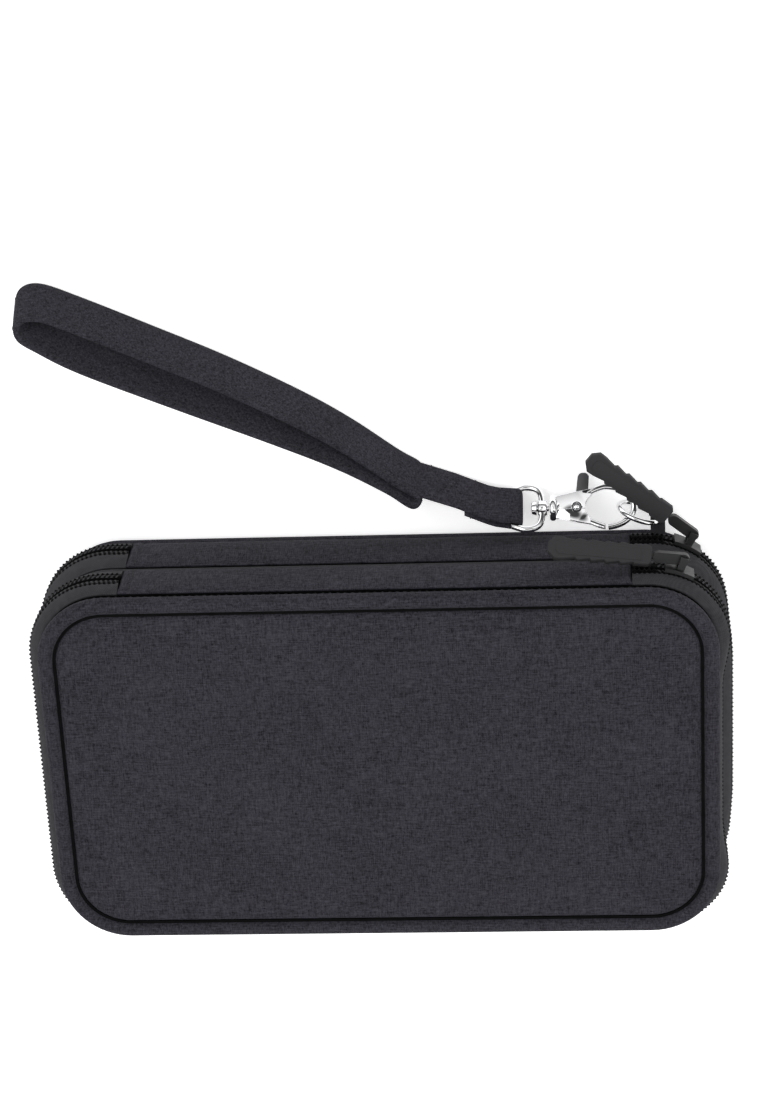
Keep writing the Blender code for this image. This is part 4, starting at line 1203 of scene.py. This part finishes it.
@dataclass
class Rings:
    """The tether ring in its tab, and the D-ring with its hub between swivel and strap."""

    bar: Vector
    lean: Vector
    ring_centre: Point
    ring_radius: float = 6.2
    ring_wire: float = 0.8
    ring_heading: float = -21.0
    d_height: float = 17.4
    d_depth: float = 8.8
    d_wire: float = 1.05
    hub_radius: float = 2.5
    hub_width: float = 2.8

    def build(self) -> None:
        """Makes both rings and dresses the tab."""
        heading = math.radians(self.ring_heading)
        flat = Vector((math.cos(heading), math.sin(heading), 0))
        up = Vector((0, 0, 1))
        centre = Vector(self.ring_centre)
        turns = [math.tau * step / 72 for step in range(72)]
        path = [centre + self.ring_radius * (math.cos(t) * flat + math.sin(t) * up) for t in turns]
        ring = Form()
        wire(ring, path, self.ring_wire, True, flat.cross(up))
        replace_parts(ring.make("tether_split_ring", Finish.CHROME, "tether_ring", 60.0), "tether_ring")
        refined("tether_tab", "tether_webbing_tab", Finish.TAPE, "back_cover", 0.2)
        self.build_d_ring()

    def build_d_ring(self) -> None:
        """Makes the D-ring: straight bar, bow and turned hub."""
        half = self.d_height / 2 - self.d_wire
        out = Vector((1, 0, 0))
        path = [self.bar + self.lean * half * 0.8 * (step / 8 - 1) for step in range(17)]
        knee = 1.35
        for step in range(41):
            turn = math.pi * (0.47 - 0.94 * step / 40)
            bulge = math.cos(turn)
            reach = self.d_depth - (1 - bulge) * knee - self.d_depth * (1 - bulge) ** 2.2 * 0.62
            rise = half * math.sin(turn) * (1.0 - 0.06 * (1 - bulge) ** 4)
            path.append(self.bar + out * reach + self.lean * rise)
        form = Form()
        wire(form, path, self.d_wire, True, out.cross(self.lean).normalized())
        along = Matrix.Translation(self.bar + out * self.d_depth) @ Matrix.Rotation(math.pi / 2, 4, "Y")
        low, high, rim = -self.hub_width / 2, self.hub_width / 2, self.hub_radius
        profile = [(1.25, low), (rim - 0.3, low), (rim, low + 0.3), (rim - 0.25, low + 0.8), (rim - 0.25, high - 0.8),
                   (rim, high - 0.3), (rim - 0.3, high), (1.25, high)]
        turned(form, profile, along)
        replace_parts(form.make("strap_d_ring", Finish.CHROME, "d_ring", 45.0), "d_ring")


@dataclass
class Pull:
    """A moulded rubber pull with stepped grip edges, on its metal link and slider."""

    prefix: str
    pin: Vector
    heading: float
    tilt: float
    length: float = 30.5
    width: float = 7.0
    thickness: float = 2.6
    start: float = 9.5
    nose: float = 2.0
    step: float = 0.42
    grips: int = 5

    def outline(self) -> list[Plan]:
        """Plan of the pull: a squared nose with cut corners and shallow steps down both edges."""
        half = self.width / 2
        first, pitch = 5.0, 4.3
        lower = [(0.0, -half + 1.2), (0.9, -half + 0.35), (first, -half + 0.35)]
        for k in range(self.grips):
            x = first + k * pitch
            lower += [(x + 0.35, -half + self.step + 0.35), (x + pitch - 0.35, -half + 0.12)]
        lower += [(self.length - self.nose, -half + 0.05), (self.length, -half + self.nose)]
        return lower + [(x, -y) for x, y in reversed(lower)]

    def build(self) -> None:
        """Makes the pull and dresses its link and slider."""
        turn = Matrix.Rotation(math.radians(self.heading), 4, "Z")
        shift = Matrix.Translation((self.start, 0, 0)) @ Matrix.Rotation(math.radians(self.tilt), 4, "X")
        place = Matrix.Translation(self.pin) @ turn @ shift
        form = Form()
        half = self.thickness / 2
        rounded_prism(form, self.outline(), -half, half, 0.4, place)
        for side in (1, -1):
            panel = [(3.0, -2.1), (self.length - 3.2, -2.1), (self.length - 2.2, -1.1), (self.length - 2.2, 1.1),
                     (self.length - 3.2, 2.1), (3.0, 2.1)]
            low, high = sorted((side * (half - 0.2), side * (half + 0.18)))
            rounded_prism(form, panel, low, high, 0.12, place)
        body = self.prefix + "_pull"
        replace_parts(form.make(self.prefix + "_rubber_pull", Finish.RUBBER, body, 30.0), self.prefix + "_pull_tab")
        refined(self.prefix + "_pull_link", self.prefix + "_wire_link", Finish.BLACK_METAL, body, 0.4)
        slider = self.prefix + "_slider"
        refined(slider, self.prefix + "_zip_slider", Finish.BLACK_METAL, slider, 0.35)


# ----------------------------------------------------------------------------------------------------------- studio


@dataclass
class Studio:
    """Pale floor, soft lights and the camera."""

    focal: float = 137.92
    sensor: float = 36.0
    azimuth: float = 10.418
    elevation: float = 65.292
    roll: float = -3.120
    distance: float = 900.0
    pan: Plan = (-1.574, 56.777)
    target_z: float = 23.0

    def camera(self) -> None:
        """Places the camera: orbit angles, then a roll and a pan in its own plane."""
        azimuth, elevation, roll = (math.radians(a) for a in (self.azimuth, self.elevation, self.roll))
        back = Vector((math.sin(azimuth) * math.cos(elevation), math.cos(azimuth) * math.cos(elevation),
                       math.sin(elevation)))
        level = Vector((0, 1, 0)).cross(back).normalized()
        rise = back.cross(level)
        right = math.cos(roll) * level + math.sin(roll) * rise
        up = -math.sin(roll) * level + math.cos(roll) * rise
        spot = Vector((0, 0, self.target_z)) + back * self.distance + right * self.pan[0] + up * self.pan[1]
        data = bpy.data.cameras.new("camera")
        data.lens = self.focal
        data.sensor_width = self.sensor
        data.sensor_fit = "HORIZONTAL"
        data.clip_start, data.clip_end = 0.01, 20.0
        made = bpy.data.objects.new("camera", data)
        made.matrix_world = Matrix.Translation(spot * MM) @ Matrix((right, up, back)).transposed().to_4x4()
        bpy.context.scene.collection.objects.link(made)
        bpy.context.scene.camera = made

    def light(self, name: str, spot: Point, size: float, power: float) -> None:
        """A soft square light aimed at the pouch, with its place in metres."""
        data = bpy.data.lights.new(name, "AREA")
        data.shape = "SQUARE"
        data.size = size
        data.energy = power
        made = bpy.data.objects.new(name, data)
        made.location = spot
        made.rotation_euler = (Vector((0, 0, 0.02)) - Vector(spot)).to_track_quat("-Z", "Y").to_euler()
        bpy.context.scene.collection.objects.link(made)

    def world(self) -> None:
        """A near-white sky, darker towards the horizon so that the plated metal has something to mirror."""
        world = bpy.data.worlds.new("studio")
        world.use_nodes = True
        world.node_tree.nodes.clear()
        graph = Graph(world.node_tree)
        way = graph.add("ShaderNodeTexCoord").outputs["Generated"]
        height = graph.add("ShaderNodeSeparateXYZ", None, i0=way).outputs[2]
        strength = graph.ramp(height, 0.16, 0.68, 0.1, 1.16)
        card = graph.add("ShaderNodeVectorMath", {"operation": "DOT_PRODUCT"}, i0=way, i1=(0.0, 0.47, 0.883))
        shade = graph.ramp(card.outputs[1], 0.955, 0.985, 1.0, 0.05)
        strength = graph.times(strength, shade)
        back = graph.add("ShaderNodeBackground", None, Color=(1.0, 1.0, 1.0, 1), Strength=strength)
        graph.add("ShaderNodeOutputWorld", None, Surface=back.outputs[0])
        bpy.context.scene.world = world

    def floor(self) -> None:
        """A plain pale floor under the pouch."""
        form = Form()
        reach, drop = 12000.0, -0.02
        rings = [[(-reach, -reach, z), (reach, -reach, z), (reach, reach, z), (-reach, reach, z)]
                 for z in (drop - 5, drop)]
        form.loft(rings)
        mesh = bpy.data.meshes.new("floor")
        mesh.from_pydata([Vector(point) * MM for point in form.points], [], form.faces)
        made = bpy.data.objects.new("floor", mesh)
        paint = bpy.data.materials.new("pale_floor")
        paint.use_nodes = True
        paint.node_tree.nodes.clear()
        graph = Graph(paint.node_tree)
        place = graph.place()
        tone = graph.ramp(graph.noise(place, 30.0, 3.0), 0.3, 0.7, 0.0, 1.0)
        colour = graph.mix(tone, (0.93, 0.93, 0.93, 1), (0.945, 0.945, 0.945, 1))
        shader = graph.add("ShaderNodeBsdfPrincipled", None, Base_Color=colour, Roughness=0.85)
        shader.inputs["Emission Color"].default_value = (1.0, 1.0, 1.0, 1)
        shader.inputs["Emission Strength"].default_value = 0.5
        graph.add("ShaderNodeOutputMaterial", None, Surface=shader.outputs[0])
        mesh.materials.append(paint)
        bpy.context.scene.collection.objects.link(made)

    def build(self) -> None:
        """Sets up the whole studio."""
        self.world()
        self.floor()
        self.light("key", (-0.9, 0.7, 1.6), 1.3, 9.0)
        self.light("fill", (1.2, -0.5, 1.3), 1.5, 7.0)
        self.camera()
        scene = bpy.context.scene
        scene.view_settings.view_transform = "Standard"
        scene.view_settings.look = "None"
        scene.view_settings.exposure = 0.0


# ---------------------------------------------------------------------------------------------------------- assembly


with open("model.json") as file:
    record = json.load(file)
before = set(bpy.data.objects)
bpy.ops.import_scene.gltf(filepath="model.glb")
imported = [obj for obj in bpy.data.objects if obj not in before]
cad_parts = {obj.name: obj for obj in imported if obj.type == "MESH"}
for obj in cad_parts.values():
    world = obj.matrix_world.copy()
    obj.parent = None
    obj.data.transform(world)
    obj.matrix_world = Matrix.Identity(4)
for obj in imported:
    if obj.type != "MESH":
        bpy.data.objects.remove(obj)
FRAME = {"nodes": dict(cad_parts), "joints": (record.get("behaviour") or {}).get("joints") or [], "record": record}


def dress_frame() -> None:
    """Gives each CAD node the material of its slot, for those that stay in view."""
    slots = {part["node"]: part["material_slot"] for part in FRAME["record"]["subparts"]}
    for name, node in FRAME["nodes"].items():
        look = bpy.data.materials[slots[name] + "_look"]
        if not node.material_slots:
            node.data.materials.append(look)
        for place in node.material_slots:
            place.material = look


def joint_spot(name: str) -> Vector:
    """A joint's place in millimetres."""
    joint = next(joint for joint in FRAME["joints"] if joint["name"] == name)
    return Vector(joint["pos_m"]) / MM


def node_box(node: str) -> tuple[Vector, Vector]:
    """A CAD node's lowest and highest corners in millimetres."""
    low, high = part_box(node)
    return Vector(low) / MM, Vector(high) / MM


def build_panels(outline: Outline) -> None:
    """Makes both faces of the pouch and their welts."""
    for word, body, way, rests in (("front", "front_cover", 1, False), ("back", "back_cover", -1, True)):
        low, high = node_box(word + "_panel")
        welt_low, welt_high = node_box(word + "_piping")
        welt_z = (welt_low.z + welt_high.z) / 2
        face = high.z - 0.55 if way > 0 else low.z + 0.12
        inner = low.z + 0.05 if way > 0 else high.z - 0.05
        panel = PaddedPanel(outline, word + "_padded_cloth", body, (word + "_panel",), welt_z - way * 0.3, face,
                            inner, rests=rests)
        panel.build()
        Welt(outline, word + "_welt", body, word + "_piping", welt_z, stitch_side=-way).build()


def seam_line(outline: Outline, name: str, body: str, low: float, high: float) -> None:
    """Closes the gap between a tape and the edge it is sewn to with a black line of binding."""
    section = ((0.3, low), (0.3, high), (1.0, high), (1.0, low))
    swept(outline, section).make(name, Finish.COIL_AND_SEAM_SHADOW, body)


def build_zips(outline: Outline) -> None:
    """Makes both zips, the spine strips and the divider's binding."""
    hinge = joint_spot("divider_hinge").y
    halves = (("rear", "back_cover", "divider", 1.4, 11.0), ("front", "divider", "front_cover", 0.25, 8.0))
    for word, lower, upper, swell, parted in halves:
        low = node_box(word + "_lower_tape")[0].z
        high = node_box(word + "_upper_tape")[1].z
        coil = (node_box(word + "_lower_coil")[0].z + node_box(word + "_upper_coil")[1].z) / 2
        nodes = (word + "_lower_tape", word + "_lower_coil")
        side = ZipSide(outline, word + "_zip_lower", lower, upper, nodes, low, coil, -1.0, hinge)
        side.swell, side.parted = swell, parted
        side.build()
        ends = tuple(f"{word}_zip_end_{side}" for side in ("right", "left"))
        nodes = (word + "_upper_tape", word + "_upper_coil", *ends)
        side = ZipSide(outline, word + "_zip_upper", lower, upper, nodes, high, coil, 1.0, hinge)
        side.swell, side.parted = swell, parted
        side.build()
        edge = node_box("back_piping" if word == "rear" else "divider_binding")[1].z
        seam_line(outline, word + "_zip_lower_seam", lower, edge - 0.05, low + 0.05)
        edge = node_box("front_piping" if word == "front" else "divider_binding")[0].z
        seam_line(outline, word + "_zip_upper_seam", upper, high - 0.05, edge + 0.05)
        strip_low, strip_high = node_box(word + "_spine_strip")
        SpineStrip(outline, word + "_spine_cloth", lower, word + "_spine_strip", strip_low.z, strip_high.z).build()
    low, high = node_box("divider_binding")
    Binding(outline, low.z, high.z).build()


def main() -> None:
    """Builds every piece in order."""
    logging.basicConfig(level=logging.INFO, format="%(name)s %(message)s")
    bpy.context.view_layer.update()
    heather_group()
    rib_group()
    scuff_group()
    for coating in COATINGS:
        coating.make()
    dress_frame()
    welt = node_box("front_piping")[1]
    outline = Outline(welt.x, welt.y)
    build_panels(outline)
    build_zips(outline)
    bar = joint_spot("strap_swing")
    strap = WristStrap(bar)
    strap.build()
    Rings(bar, strap.lean, (welt.x - 22.8, welt.y + 8.0, 7.2)).build()
    rivet = joint_spot("gate_pivot")
    SnapHook(rivet.y, rivet.z, rivet.x - 7.2, rivet.x).build()
    Pull("rear", joint_spot("rear_pull_swing"), 140.5, 0.0).build()
    Pull("front", joint_spot("front_pull_swing"), 173.5, 45.0).build()
    Studio().build()
    bpy.context.view_layer.update()


if __name__ == "__main__":
    main()
